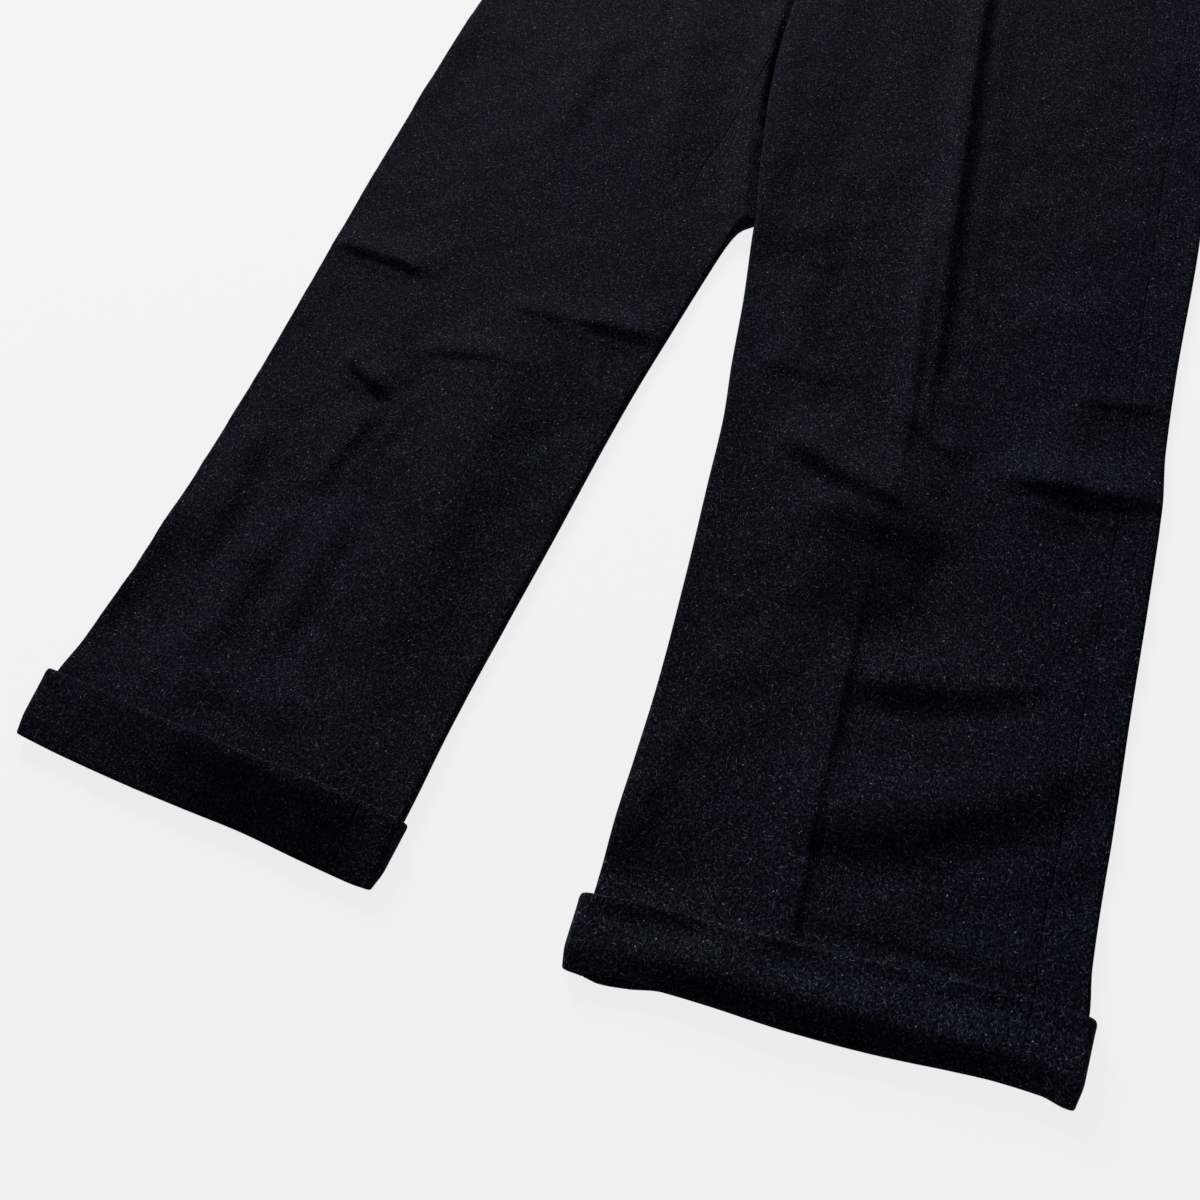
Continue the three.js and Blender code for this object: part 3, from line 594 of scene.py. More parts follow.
def run(s, inner):
    """Half the way round a section: from the outer edge to its inner end"""
    return np.linalg.norm(inner - s.outer, axis=-1) + 2 * (quarter(s) - s.roll)


def arc(s, inward):
    """Distance round the loop to a point this far in from a folded edge"""
    size = np.abs(inward)
    return np.sign(inward) * np.where(size < s.roll, size * quarter(s) / s.roll, quarter(s) + size - s.roll)


def loop_points(s, c, depth):
    """Points at distances c round the loop from the outer edge, and this deep under its outer face:
    positive over the face, negative along the underside, and past the inner edge on the other side"""
    face_end, under_end = run(s, s.inner_face), run(s, s.inner_under)
    c = np.where(c > face_end, c - face_end - under_end, c)
    c = np.where(c < -under_end, c + under_end + face_end, c)
    on_face = c >= 0
    inner = np.where(on_face[..., None], s.inner_face, s.inner_under)
    length = np.where(on_face, face_end, under_end)
    width = np.linalg.norm(inner - s.outer, axis=-1)
    b = np.abs(c)
    near, far = b < quarter(s), length - b < quarter(s)
    angle = np.where(near, b, np.where(far, length - b, quarter(s))) / s.roll
    reach = s.roll - (s.roll - depth) * np.cos(angle)
    inward = np.where(near, reach, np.where(far, width - reach, s.roll + b - quarter(s)))
    middle = np.where(near, s.outer_middle, np.where(far, s.inner_middle, 0))
    place = s.outer + (inner - s.outer) * (inward / width)[..., None]
    x, y = place[..., 0], place[..., 1]
    level = np.where(on_face, s.face(x, y) - depth, s.under(x, y) + depth)
    z = middle + np.where(near | far, np.sin(angle), 1) * (level - middle)
    return np.stack((x, y, z), axis=-1)


def laid_out(anchors, counts):
    """Columns through a row of anchors, with this many steps from each anchor to the next. No step is
    shorter than the least one."""
    least = 0.12
    anchors = [np.asarray(a, float) for a in np.broadcast_arrays(*anchors)]
    last = anchors[-1]
    for i, anchor in enumerate(anchors):
        low = anchors[0] + least * sum(counts[:i])
        high = last - least * sum(counts[i:])
        anchors[i] = np.minimum(np.maximum(anchor, low), high)
    parts = [a + (b - a) * np.arange(n) / n for a, b, n in zip(anchors[:-1], anchors[1:], counts)]
    return np.concatenate([*parts, last], axis=1)


def seam_shape(distance):
    """How deep the outer face lies near a sewn edge, which turns in and has its allowance under it"""
    turned = SEAM_DIP * np.clip(1 - distance / SEAM_ROUND, 0, 1) ** 2
    return turned - ALLOWANCE_RISE * bell((distance - ALLOWANCE) / ALLOWANCE_WIDTH)


def object_from(bm, name):
    mesh = bpy.data.meshes.new(name)
    bm.to_mesh(mesh)
    bm.free()
    made = bpy.data.objects.new(name, mesh)
    bpy.context.scene.collection.objects.link(made)
    return made


def smooth_shading(piece):
    piece.data.polygons.foreach_set("use_smooth", np.ones(len(piece.data.polygons), bool))


def cloth_shell(name, outside, inside, across):
    """A closed shell between two grids of points. Its UV map is the cloth's own, in metres."""
    rows, columns = outside.shape[:2]
    bm = bmesh.new()
    bmesh.ops.create_grid(bm, x_segments=columns - 1, y_segments=rows - 1, size=1)
    bmesh.ops.solidify(bm, geom=bm.faces[:], thickness=1)
    piece = object_from(bm, name)
    mesh = piece.data
    co = np.zeros(len(mesh.vertices) * 3, np.float32)
    mesh.vertices.foreach_get("co", co)
    co = co.reshape(-1, 3)
    column = np.rint((co[:, 0] + 1) / 2 * (columns - 1)).astype(int)
    row = np.rint((co[:, 1] + 1) / 2 * (rows - 1)).astype(int)
    grid = np.where((np.abs(co[:, 2]) > 0.5)[:, None], inside[row, column], outside[row, column])
    placed = (grid + np.array(CROTCH)) * MM
    placed[:, 2] = np.maximum(placed[:, 2], 0)
    mesh.vertices.foreach_set("co", placed.astype(np.float32).ravel())
    steps = np.linalg.norm(np.diff(outside, axis=0), axis=-1)
    along = np.concatenate((np.zeros((1, columns)), np.cumsum(steps, axis=0))) + outside[0, :, 1].mean()
    uv = np.stack((across, along), axis=-1)[row, column] * MM
    corner = np.zeros(len(mesh.loops), np.int32)
    mesh.loops.foreach_get("vertex_index", corner)
    layer = mesh.uv_layers.new(name="cloth")
    layer.data.foreach_set("uv", uv[corner].astype(np.float32).ravel())
    mesh.update()
    if signed_volume(mesh) < 0:
        mesh.flip_normals()
    smooth_shading(piece)
    return piece


def signed_volume(mesh):
    mesh.calc_loop_triangles()
    corners = np.zeros(len(mesh.loop_triangles) * 3, np.int32)
    mesh.loop_triangles.foreach_get("vertices", corners)
    co = np.zeros(len(mesh.vertices) * 3, np.float32)
    mesh.vertices.foreach_get("co", co)
    a, b, c = co.reshape(-1, 3)[corners].reshape(-1, 3, 3).transpose(1, 0, 2).astype(float)
    return float((a * np.cross(b, c)).sum()) / 6


def heights(leg, step):
    """Outer-edge heights of the rows of a panel's mesh"""
    start = leg.turnup.hem + LEG_START
    return np.linspace(start, WAIST_Y, round((WAIST_Y - start) / step) + 1)


def steps(length, size):
    return max(1, round(length / size))


def panel(name, s, c, sewn=(1, 1), turn=1):
    """A panel of a leg between its seams. "sewn" says how much each of its two long edges turns in,
    and "turn" is -1 where it runs round the underside."""
    thickness = bpy.context.scene.trousers_cloth.thickness
    from_start, from_end = c - c[:, :1], c[:, -1:] - c
    depth = sewn[0] * seam_shape(from_start) + sewn[1] * seam_shape(from_end)
    outside = loop_points(s, turn * c, depth)
    inside = loop_points(s, turn * c, np.full_like(c, thickness))
    across = turn * (c - c[c.shape[0] // 2, :1])
    return cloth_shell(name, outside, inside, across)


def left_front_columns(s, step):
    start = arc(s, curve(LEFT_SIDE_SEAM, "in", s.y)) + SHELL_GAP
    half, q = run(s, s.inner_face), quarter(s)
    end = half - arc(s, curve(LEFT_INSEAM, "in", s.inner_face[..., 1])) - SHELL_GAP
    crest = crease_place(left, s)
    anchors = [
        start, start + SEAM_ROUND, crest - 2 * CREASE_STEEP_SIDE, crest, crest + CREASE_SOFT_SIDE,
        half - 3 * q, half - q, half + q, end - SEAM_ROUND, end,
    ]
    to_crease, to_inseam = (steps(width, step) for width in LEFT_FRONT_WIDTHS)
    counts = [4, to_crease, 8, 5, to_inseam, 8, 10, 5, 3]
    return laid_out(anchors, counts)


def crease_place(leg, s):
    inward = np.abs(s.outer[..., 0] - leg.crease_x(s.y))
    return quarter(s) + inward - s.roll


def right_front_columns(s, step):
    start = arc(s, curve(RIGHT_SIDE_SEAM, "in", s.y)) + SHELL_GAP
    half, q = run(s, s.inner_face), quarter(s)
    end = half - arc(s, curve(RIGHT_INSEAM, "in", s.inner_face[..., 1])) - SHELL_GAP
    crest = crease_place(right, s)
    anchors = [
        start, start + SEAM_ROUND, -q * np.ones_like(half), q * np.ones_like(half),
        3 * q * np.ones_like(half), crest - CREASE_SOFT_SIDE, crest, crest + 2 * CREASE_STEEP_SIDE,
        end - SEAM_ROUND, end,
    ]
    to_crease, to_inseam = (steps(width, step) for width in RIGHT_FRONT_WIDTHS)
    counts = [3, 6, 10, 8, to_crease, 5, 8, to_inseam, 4]
    return laid_out(anchors, counts)


def left_back_columns(s, step):
    start = SHELL_GAP - arc(s, curve(LEFT_SIDE_SEAM, "in", s.y))
    half, q = run(s, s.inner_under), quarter(s)
    y = s.inner_under[..., 1]
    seat = SEAT_SEAM_X - right.inner(y) + SHELL_GAP
    edge_x = np.where(y < CROTCH_TOP, curve(LEFT_BACK_EDGE, "x", y), seat)
    at_inseam = half + arc(s, curve(LEFT_INSEAM, "in", y)) - SHELL_GAP
    at_edge = half - arc(s, np.maximum(ROLL + PAST_ROLL, edge_x - s.inner_under[..., 0]))
    end = np.where(y < INSEAM_TOP, at_inseam, at_edge)
    anchors = [
        start, start + SEAM_ROUND, -q * np.ones_like(half), q * np.ones_like(half), end - SEAM_ROUND, end
    ]
    return laid_out(anchors, [3, 8, 10, steps(BACK_WIDTH, step), 3])


def right_back_columns(s, step):
    start = SHELL_GAP - arc(s, curve(RIGHT_SIDE_SEAM, "in", s.y))
    half, q = run(s, s.inner_under), quarter(s)
    end = half + arc(s, curve(RIGHT_BACK_INNER, "in", s.inner_under[..., 1])) - SHELL_GAP
    anchors = [start, start + SEAM_ROUND, half - q, half + q, end - SEAM_ROUND, end]
    return laid_out(anchors, [3, steps(BACK_WIDTH, step), 10, 10, 3])


def turnup_sections(leg, up):
    """Cross sections of the loop round a turn-up, at heights above its straight hem line"""
    t = leg.turnup
    up = np.asarray(up, float)[:, None]
    share = up / (t.top - t.hem)
    outer_y = t.hem + up
    inner = pair(leg.sign * (t.inner[0] + (t.inner[1] - t.inner[0]) * share), outer_y - leg.drop(outer_y))
    return SimpleNamespace(
        y=outer_y,
        outer=pair(leg.sign * (t.outer[0] + (t.outer[1] - t.outer[0]) * share), outer_y),
        inner_face=inner,
        inner_under=inner,
        roll=TURNUP_ROLL,
        outer_middle=np.full_like(up, TURNUP_MIDDLE),
        inner_middle=np.full_like(up, TURNUP_MIDDLE),
        face=lambda x, y: leg.face(x, y) + TURNUP_LIFT,
        under=lambda x, y: np.zeros(np.broadcast(x, y).shape),
    )


def turnup_profile():
    """The profile's rows, with the long plain stretch between hem and top cut into even rows"""
    rows = np.stack([TURNUP_PROFILE[k] for k in ("out_up", "out_depth", "in_up", "in_depth")], axis=1)
    gap = int(np.argmax(np.diff(rows[:, 0])))
    t = np.linspace(0, 1, TURNUP_BODY_ROWS + 2)[1:-1, None]
    between = rows[gap] + (rows[gap + 1] - rows[gap]) * t
    return np.concatenate((rows[: gap + 1], between, rows[gap + 1 :])).T


def turnup_piece(name, leg, front, step):
    """Half of a turn-up, on the front or on the back of the leg. It rounds the outer folded edge or the
    inner one, as the side seam lies."""
    t = leg.turnup
    out_up, out_depth, in_up, in_depth = turnup_profile()

    def columns(s):
        half, q = run(s, s.inner_face), quarter(s)
        side, inseam = arc(s, t.side_seam), half - arc(s, t.inseam)
        wide = steps(TURNUP_WIDTH, step)
        if front:
            start, end = side + SHELL_GAP, inseam - SHELL_GAP
        else:
            start, end = SHELL_GAP - side, 2 * half - inseam - SHELL_GAP
        if front == (t.side_seam < 0):
            fold = (-q * np.ones_like(half), q * np.ones_like(half))
            counts = [3, 6, 12, wide, 4] if front else [4, 8, 12, wide, 3]
        else:
            fold = (half - q, half + q)
            counts = [4, wide, 12, 5, 3] if front else [3, wide, 12, 8, 4]
        return laid_out([start, start + SEAM_ROUND, *fold, end - SEAM_ROUND, end], counts)

    def grid(up, depth, dip):
        s = turnup_sections(leg, up)
        c = columns(s)
        sewn = seam_shape(c - c[:, :1]) + seam_shape(c[:, -1:] - c) if dip else 0
        points = loop_points(s, c if front else -c, depth[:, None] + sewn)
        return c, stray(leg, points, up)

    c, outside = grid(out_up, out_depth, True)
    _, inside = grid(in_up, in_depth, False)
    return cloth_shell(name, outside, inside, c if front else -c)


def stray(leg, points, up):
    """Lets a turn-up's top and hem lines wander a little and its top edge stand off, as laid cloth does"""
    t = leg.turnup
    low, high = t.inner[1], t.outer[1]
    share = (leg.sign * points[..., 0] - low) / (high - low)
    top, hem, back, rim = (curve(t.lines, name, share, "share") for name in ("top", "hem", "back", "rim"))
    height = np.clip(up[:, None] / (t.top - t.hem), 0, 1)
    on_face = smooth((points[..., 2] - UNDER_TO) / (FACE_FROM - UNDER_TO))
    hem = back + (hem - back) * on_face
    points[..., 1] += hem + (top * (UNDER_TOP + (1 - UNDER_TOP) * on_face) - hem) * height
    standing = np.clip(1 - (t.top - t.hem - up[:, None]) / t.rim_reach, 0, 1) ** t.rim_curl
    points[..., 2] += rim * standing * on_face
    return points


def waistband_sections(leg, up, front_end, back_end, tab_rise):
    """Cross sections of a half of the waistband, which ends at these places on its front and back"""
    up = np.asarray(up, float)[:, None]
    outer_y = WAIST_Y + SEAM_GAP + up
    outer = pair(leg.sign * (leg.outer(WAIST_Y) - WAIST_TAPER * up), outer_y)

    def end(cut, slope):
        x = cut - leg.sign * 2 * WAISTBAND_ROLL
        return pair(x, outer_y - slope * np.abs(outer[..., 0] - x))

    def face(x, y):
        on_tab = tab_rise * smooth((TAB_REACH + WAISTBAND_ROLL - x) / TAB_RAMP)
        return WAISTBAND_LEVEL + on_tab + face_height * ripple(x, y, face_length, face_seed)

    face_length, face_seed, face_height = BAND_FACE_WAVE
    under_length, under_seed, under_height = BAND_UNDER_WAVE
    return SimpleNamespace(
        y=outer_y,
        outer=outer,
        inner_face=end(front_end, WAIST_SLOPE),
        inner_under=end(back_end, -WAIST_SLOPE),
        roll=WAISTBAND_ROLL,
        outer_middle=np.full_like(up, WAISTBAND_MIDDLE),
        inner_middle=np.full_like(up, WAISTBAND_LEVEL),
        face=face,
        under=lambda x, y: under_height * smooth(ripple(x, y, under_length, under_seed)),
    )


def waistband_piece(name, leg, front_end, back_end, tab_rise, step):
    plain = 2 * WAISTBAND_EDGE_ROWS[-1]
    up = np.concatenate((
        WAISTBAND_EDGE_ROWS,
        np.linspace(plain, WAISTBAND_HEIGHT - plain, WAISTBAND_BODY_ROWS),
        WAISTBAND_HEIGHT - WAISTBAND_EDGE_ROWS[::-1],
    ))
    edge = np.minimum(up, WAISTBAND_HEIGHT - up)[:, None]
    s = waistband_sections(leg, up, front_end, back_end, tab_rise)
    past, q = arc(s, 2 * WAISTBAND_ROLL), quarter(s)
    start, end = past - run(s, s.inner_under), run(s, s.inner_face) - past
    anchors = [
        start, start + SEAM_ROUND, -q * np.ones_like(start), q * np.ones_like(start), end - SEAM_ROUND, end
    ]
    wide = steps(WAISTBAND_WIDTH, step)
    c = laid_out(anchors, [4, wide, 12, wide, 4])
    edge = np.minimum(edge, np.minimum(c - c[:, :1], c[:, -1:] - c))
    turned = np.clip(1 - edge / SEAM_ROUND, 0, 1) ** 2
    stitched = TOPSTITCH_DIP * bell((edge - TOPSTITCH_IN) / TOPSTITCH_WIDTH)
    outside = loop_points(s, c, turned + stitched)
    inside = loop_points(s, c, WAISTBAND_CLOTH - WAISTBAND_TURN * turned)
    return cloth_shell(name, outside, inside, c - c[:, :1])


class Value:
    """A number, colour or vector in a material, on which Python's operators add nodes"""

    def __init__(self, material, socket):
        self.material, self.socket = material, socket

    def maths(self, operation, *others):
        values = dict(enumerate((self, *others)))
        return self.material.node("ShaderNodeMath", {"operation": operation}, values)

    def __add__(self, other):
        return self.maths("ADD", other)

    def __radd__(self, other):
        return self.maths("ADD", other)

    def __sub__(self, other):
        return self.maths("SUBTRACT", other)

    def __mul__(self, other):
        return self.maths("MULTIPLY", other)

    def __rmul__(self, other):
        return self.maths("MULTIPLY", other)

    def power(self, other):
        return self.maths("POWER", other)

    def size(self):
        return self.maths("ABSOLUTE")

    def above(self, other):
        return self.maths("GREATER_THAN", other)

    def ramp(self, low, high):
        """0 at low and 1 at high, with soft ends. It falls where low is the greater."""
        settings = {"interpolation_type": "SMOOTHSTEP"}
        if low < high:
            return self.material.node("ShaderNodeMapRange", settings, {0: self, 1: low, 2: high})
        return self.material.node(
            "ShaderNodeMapRange", settings, {0: self, 1: high, 2: low, 3: 1.0, 4: 0.0}
        )

    def part(self, index):
        return self.material.node("ShaderNodeSeparateXYZ", {}, {0: self}, index)


class Finish:
    """A material and the nodes that colour it"""

    def __init__(self, name, **fixed):
        self.data = bpy.data.materials.new(name)
        self.data.use_nodes = True
        self.tree = self.data.node_tree
        self.shader = self.tree.nodes["Principled BSDF"]
        for socket, value in fixed.items():
            self.shader.inputs[socket.replace("_", " ")].default_value = value

    def node(self, kind, settings, values, output=0):
        """Adds a node with its settings made first, then the values or links of its sockets"""
        made = self.tree.nodes.new(kind)
        for name, value in settings.items():
            setattr(made, name, value)
        for key, value in values.items():
            if isinstance(value, Value):
                self.tree.links.new(value.socket, made.inputs[key])
            else:
                made.inputs[key].default_value = value
        return Value(self, made.outputs[output])

    def feed(self, socket, value):
        self.tree.links.new(value.socket, self.shader.inputs[socket])

    def cloth(self):
        """The piece's own UV map: across the cloth and along it, in metres"""
        return self.node("ShaderNodeUVMap", {"uv_map": "cloth"}, {})

    def place(self):
        return self.node("ShaderNodeTexCoord", {}, {}, "Object")

    def mapped(self, vector, turn=0.0, stretch=(1, 1, 1)):
        values = {"Vector": vector, "Rotation": (0, 0, turn), "Scale": stretch}
        return self.node("ShaderNodeMapping", {}, values)

    def noise(self, vector, scale, detail=2.0, rough=0.5, kind="2D"):
        values = {"Vector": vector, "Scale": scale, "Detail": detail, "Roughness": rough}
        return self.node("ShaderNodeTexNoise", {"noise_dimensions": kind}, values, "Fac")

    def mix(self, share, a, b, blend="MIX"):
        """A colour between a and b"""
        settings = {"data_type": "RGBA", "blend_type": blend}
        return self.node("ShaderNodeMix", settings, {0: share, 6: a, 7: b}, 2)

    def tint(self, share, colour, by):
        return self.mix(share, colour, by, "MULTIPLY")

    def bump(self, height, strength, distance):
        values = {"Height": height, "Strength": strength, "Distance": distance}
        self.feed("Normal", self.node("ShaderNodeBump", {}, values))

    def hairs(self, vector, cell, length, width, lean, spread, share):
        """Short hairs, one in some of the cells, each at an angle and with a bend of its own: how
        much a hair covers the cloth, and a number of its own for its brightness"""
        settings = {"voronoi_dimensions": "2D", "feature": "F1"}
        own = self.node("ShaderNodeTexVoronoi", settings, {"Vector": vector, "Scale": 1 / cell}, "Color")
        centre = Value(self, own.socket.node.outputs["Position"])
        local = self.node("ShaderNodeVectorMath", {"operation": "SUBTRACT"}, {0: vector, 1: centre})
        x, y = local.part(0), local.part(1)
        angle = (own.part(0) - 0.5) * spread + lean
        cosine, sine = angle.maths("COSINE"), angle.maths("SINE")
        along = x * cosine + y * sine
        across = y * cosine - x * sine
        bend = (own.part(1) - 0.5) * (2.5 / length)
        across = across + bend * along * along
        body = across.size().ramp(width, width * 0.35)
        ends = along.size().ramp(length / 2, length / 4)
        shown = own.part(2).above(1 - share)
        return body * ends * shown, own.part(2)


# Tints that multiply the wool's colour
VIOLET, REDDISH, GREENISH = (0.94, 0.92, 1.26, 1), (1.24, 0.90, 1.06, 1), (0.88, 1.06, 0.94, 1)
# The brownish one darkens the patches on the left leg: partly the wool's own tint, partly painted shade
DULL, BROWN_TINT_AND_SHADE = (0.55, 0.52, 0.55, 1), (0.60, 0.52, 0.54, 1)
# On the next row: painted shade for the right turn-up and the left hem, and painted light for the left
# turn-up
PAINTED_TURNUP_SHADE, SHADED_HEM, PAINTED_TURNUP_LIGHT = (0.30, 0.27, 0.31, 1), (0.32, 0.32, 0.34, 1), (1.32, 1.34, 1.34, 1)
# Other fixed colours
SPECK = (0.20, 0.21, 0.21, 1)
HORN_STREAK = (0.085, 0.058, 0.038, 1)
HAIR_DARK, HAIR_PALE = (0.035, 0.042, 0.055, 1), (0.16, 0.17, 0.18, 1)
# Darker patches on the left leg, partly a brownish tint of the wool and partly painted shade of its folds:
# the place and half sizes of each in metres, how much it climbs along x, and its strength
TINT_AND_SHADE_PATCHES = (
    (0.163, -0.222, 0.046, 0.070, 0.0, 0.8),  # under the knee
    (0.210, -0.389, 0.056, 0.021, 0.42, 0.8),  # shin
    (0.213, -0.304, 0.040, 0.013, 0.15, 0.7),  # calf
    (0.084, -0.430, 0.036, 0.034, 0.0, 0.6),  # over the turn-up
)
PATCH_RAGGED = 1.6  # how uneven their edges are
PATCH_EDGE, PATCH_CORE = 1.1, 0.2


def wool_finish():
    """Brushed melange wool: a fine salt-and-pepper grain of dark navy and grey with pale curled hairs,
    a faint slanting twill and broad uneven tints, among them painted shade and painted light in places"""
    colours = bpy.context.scene.trousers_colours
    wool = Finish("melange wool", Roughness=0.95, Metallic=0.0)
    wool.shader.inputs["Sheen Weight"].default_value = 0.0015
    wool.shader.inputs["Sheen Roughness"].default_value = 0.6
    wool.shader.inputs["Sheen Tint"].default_value = (0.7, 0.8, 1.0, 1)
    wool.shader.inputs["Specular IOR Level"].default_value = 0.02
    cloth = wool.cloth()

    slanted = wool.mapped(cloth, turn=math.radians(24), stretch=(1.0, 0.7, 1))
    grain = wool.noise(slanted, scale=640, detail=1.0)
    crossed = wool.mapped(cloth, turn=math.radians(-33), stretch=(1, 0.75, 1))
    fine = wool.noise(crossed, scale=1180, detail=0.0)
    clumps = wool.noise(cloth, scale=210, detail=1.0, rough=0.6)
    melange = grain.ramp(0.30, 0.78) * 0.75 + fine.ramp(0.35, 0.85) * 0.55 + (clumps - 0.5) * 0.35
    dark, light = (*colours.wool_dark, 1), (*colours.wool_light, 1)
    colour = wool.mix(melange.maths("MAXIMUM", 0.0).power(1.5), dark, light)

    hair = (*colours.fibre, 1)
    curls, own = wool.hairs(
        cloth, cell=0.0021, length=0.0016, width=0.00026, lean=1.2, spread=3.1, share=0.55
    )
    colour = wool.mix(curls * (0.08 + 0.75 * own.power(3.0)), colour, hair)
    stray, own = wool.hairs(
        cloth, cell=0.0049, length=0.0036, width=0.00024, lean=0.9, spread=2.6, share=0.40
    )
    colour = wool.mix(stray * (0.1 + 0.8 * own.power(3.0)), colour, hair)
    specks, own = wool.hairs(
        cloth, cell=0.0105, length=0.0011, width=0.00045, lean=0.5, spread=3.1, share=0.25
    )
    colour = wool.mix(specks * (0.3 + 0.7 * own.power(6.0)), colour, SPECK)
    wool.feed("Base Color", placed_tints(wool, colour))

    slope = wool.mapped(cloth, turn=math.radians(27))
    waves = {"Vector": slope, "Scale": 140, "Distortion": 2.0, "Detail": 1.0, "Detail Scale": 2.0}
    wales = wool.node("ShaderNodeTexWave", {"wave_type": "BANDS", "bands_direction": "X"}, waves, "Fac")
    height = grain * 0.9 + fine * 0.4 + clumps * 0.8 + wales * 0.12 + curls * 0.2
    wool.bump(height, strength=0.6, distance=0.0006)
    return wool.data


def placed_tints(wool, colour):
    """Uneven broad tints, some of which keep to the parts of the garment that show them. The darker patches
    on the left leg are partly painted shade, and the turn-ups and the left hem carry painted shade and
    painted light.
    """
    place = wool.place()
    x, y = place.part(0), place.part(1)
    broad = wool.noise(place, scale=6.5, detail=1.5, kind="3D")
    warm = wool.noise(wool.mapped(place, turn=0.8), scale=9.0, detail=1.0, kind="3D")
    green = wool.noise(wool.mapped(place, turn=2.1), scale=7.0, detail=1.0, kind="3D")
    blots = wool.noise(wool.mapped(place, turn=1.3), scale=11.0, detail=2.0, rough=0.55, kind="3D")

    left_side = x.ramp(0.19, 0.31)
    right_calf = x.ramp(-0.05, -0.22) * y.ramp(-0.16, -0.34)
    inner_calves = x.size().ramp(0.16, 0.06) * y.ramp(0.0, -0.14)
    violet = broad.ramp(0.44, 0.66) * 0.3 + left_side * 0.4 + right_calf * 0.2
    colour = wool.tint(violet, colour, VIOLET)
    reddish = warm.ramp(0.50, 0.68) * (0.3 + right_calf * 0.4) + left_side * y.ramp(-0.1, 0.1) * 0.25
    colour = wool.tint(reddish, colour, REDDISH)
    colour = wool.tint(green.ramp(0.50, 0.66) * (0.25 + inner_calves * 0.5), colour, GREENISH)
    colour = wool.tint(blots.ramp(0.53, 0.72) * 0.38, colour, DULL)
    # Each patch darkens the wool: partly its own brownish tint, partly painted shade of the folds
    for middle_x, middle_y, half_x, half_y, climb, strength in TINT_AND_SHADE_PATCHES:
        across = (x - middle_x) * (1 / half_x)
        along = (y + x * -climb - (middle_y - climb * middle_x)) * (1 / half_y)
        away = across * across + along * along + (blots - 0.5) * PATCH_RAGGED
        colour = wool.tint(away.ramp(PATCH_EDGE, PATCH_CORE) * strength, colour, BROWN_TINT_AND_SHADE)

    # Painted shade on a stretch of the right turn-up, painted light on the left turn-up, and painted shade on
    # a stretch of the left hem
    stretch = (y + x * 0.074).ramp(-0.4795, -0.4855) * x.ramp(-0.25, -0.19) * x.ramp(-0.05, -0.11)
    colour = wool.tint(stretch * 0.8, colour, PAINTED_TURNUP_SHADE)
    # Painted light: the left turn-up is made paler, as if it caught more of the light
    colour = wool.tint(y.ramp(-0.449, -0.456) * x.ramp(0.03, 0.045), colour, PAINTED_TURNUP_LIGHT)
    # Painted shade along the left hem, where it rolls under
    hem = (y + x * -0.06).ramp(-0.498, -0.506) * x.ramp(0.09, 0.14) * x.ramp(0.335, 0.29)
    return wool.tint(hem * 0.75, colour, SHADED_HEM)


def horn_finish():
    """Dark polished horn with paler streaks"""
    horn = Finish("dark horn", Metallic=0.0)
    place = horn.place()
    drawn_out = horn.mapped(place, turn=0.6, stretch=(1, 5, 1))
    streaks = horn.noise(drawn_out, scale=160, detail=4.0, rough=0.6, kind="3D")
    colour = (*bpy.context.scene.trousers_colours.horn, 1)
    horn.feed("Base Color", horn.mix(streaks.ramp(0.45, 0.75), colour, HORN_STREAK))
    horn.feed("Roughness", horn.noise(place, scale=900, kind="3D") * 0.25 + 0.28)
    horn.bump(streaks, strength=0.1, distance=0.0002)
    return horn.data


def lint_finish():
    """Pale wool hairs that stand off the cloth, and bits of lint"""
    lint = Finish("pale hair", Roughness=0.9, Metallic=0.0)
    lint.shader.inputs["Specular IOR Level"].default_value = 0.1
    tone = lint.noise(lint.place(), scale=70, detail=1.0, kind="3D")
    lint.feed("Base Color", lint.mix(tone.ramp(0.35, 0.7), HAIR_DARK, HAIR_PALE))
    return lint.data


def finish_named(name, make):
    """Each finish is made once and shared"""
    return bpy.data.materials.get(name) or make()


def dress(piece, node, material):
    """Gives a cloth piece its material, attaches it to the root and hides the part it stands for"""
    piece.data.materials.append(material)
    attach(piece, "root")
    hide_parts(node)


def inseam_depth(y):
    """How much the right inseam turns in: it fades in the nap below the crotch"""
    return INSEAM_SHOWS + (1 - INSEAM_SHOWS) * smooth((y - INSEAM_FADE_FROM) / INSEAM_FADE_OVER)


class TROUSERS_OT_fronts(bpy.types.Operator):
    """Makes the left and right fronts with their creases, pleats and folds"""

    bl_idname = "trousers.fronts"
    bl_label = "Fronts"

    def execute(self, context):
        step = context.scene.trousers_cloth.grid
        wool = finish_named("melange wool", wool_finish)
        s = leg_sections(left, heights(left, step))
        piece = panel("front_left", s, left_front_columns(s, step))
        dress(piece, "left_front", wool)
        s = leg_sections(right, heights(right, step))
        piece = panel("front_right", s, right_front_columns(s, step), (1, inseam_depth(s.y)))
        dress(piece, "right_front", wool)
        return {"FINISHED"}


class TROUSERS_OT_backs(bpy.types.Operator):
    """Makes the left and right backs, which the trousers lie on"""

    bl_idname = "trousers.backs"
    bl_label = "Backs"

    def execute(self, context):
        step = context.scene.trousers_cloth.grid * BACK_COARSER
        wool = finish_named("melange wool", wool_finish)
        s = leg_sections(left, heights(left, step))
        piece = panel("back_left", s, left_back_columns(s, step), turn=-1)
        dress(piece, "left_back", wool)
        s = leg_sections(right, heights(right, step))
        piece = panel("back_right", s, right_back_columns(s, step), (1, inseam_depth(s.y)), turn=-1)
        dress(piece, "right_back", wool)
        return {"FINISHED"}


class TROUSERS_OT_turnups(bpy.types.Operator):
    """Makes the turn-ups, in a front and a back piece on each leg"""

    bl_idname = "trousers.turnups"
    bl_label = "Turn-ups"

    def execute(self, context):
        wool = finish_named("melange wool", wool_finish)
        for side, leg in (("left", left), ("right", right)):
            for half, front in (("front", True), ("back", False)):
                piece = turnup_piece(f"turnup_{half}_{side}", leg, front, TURNUP_STEP)
                dress(piece, f"{side}_{half}_turnup", wool)
        return {"FINISHED"}


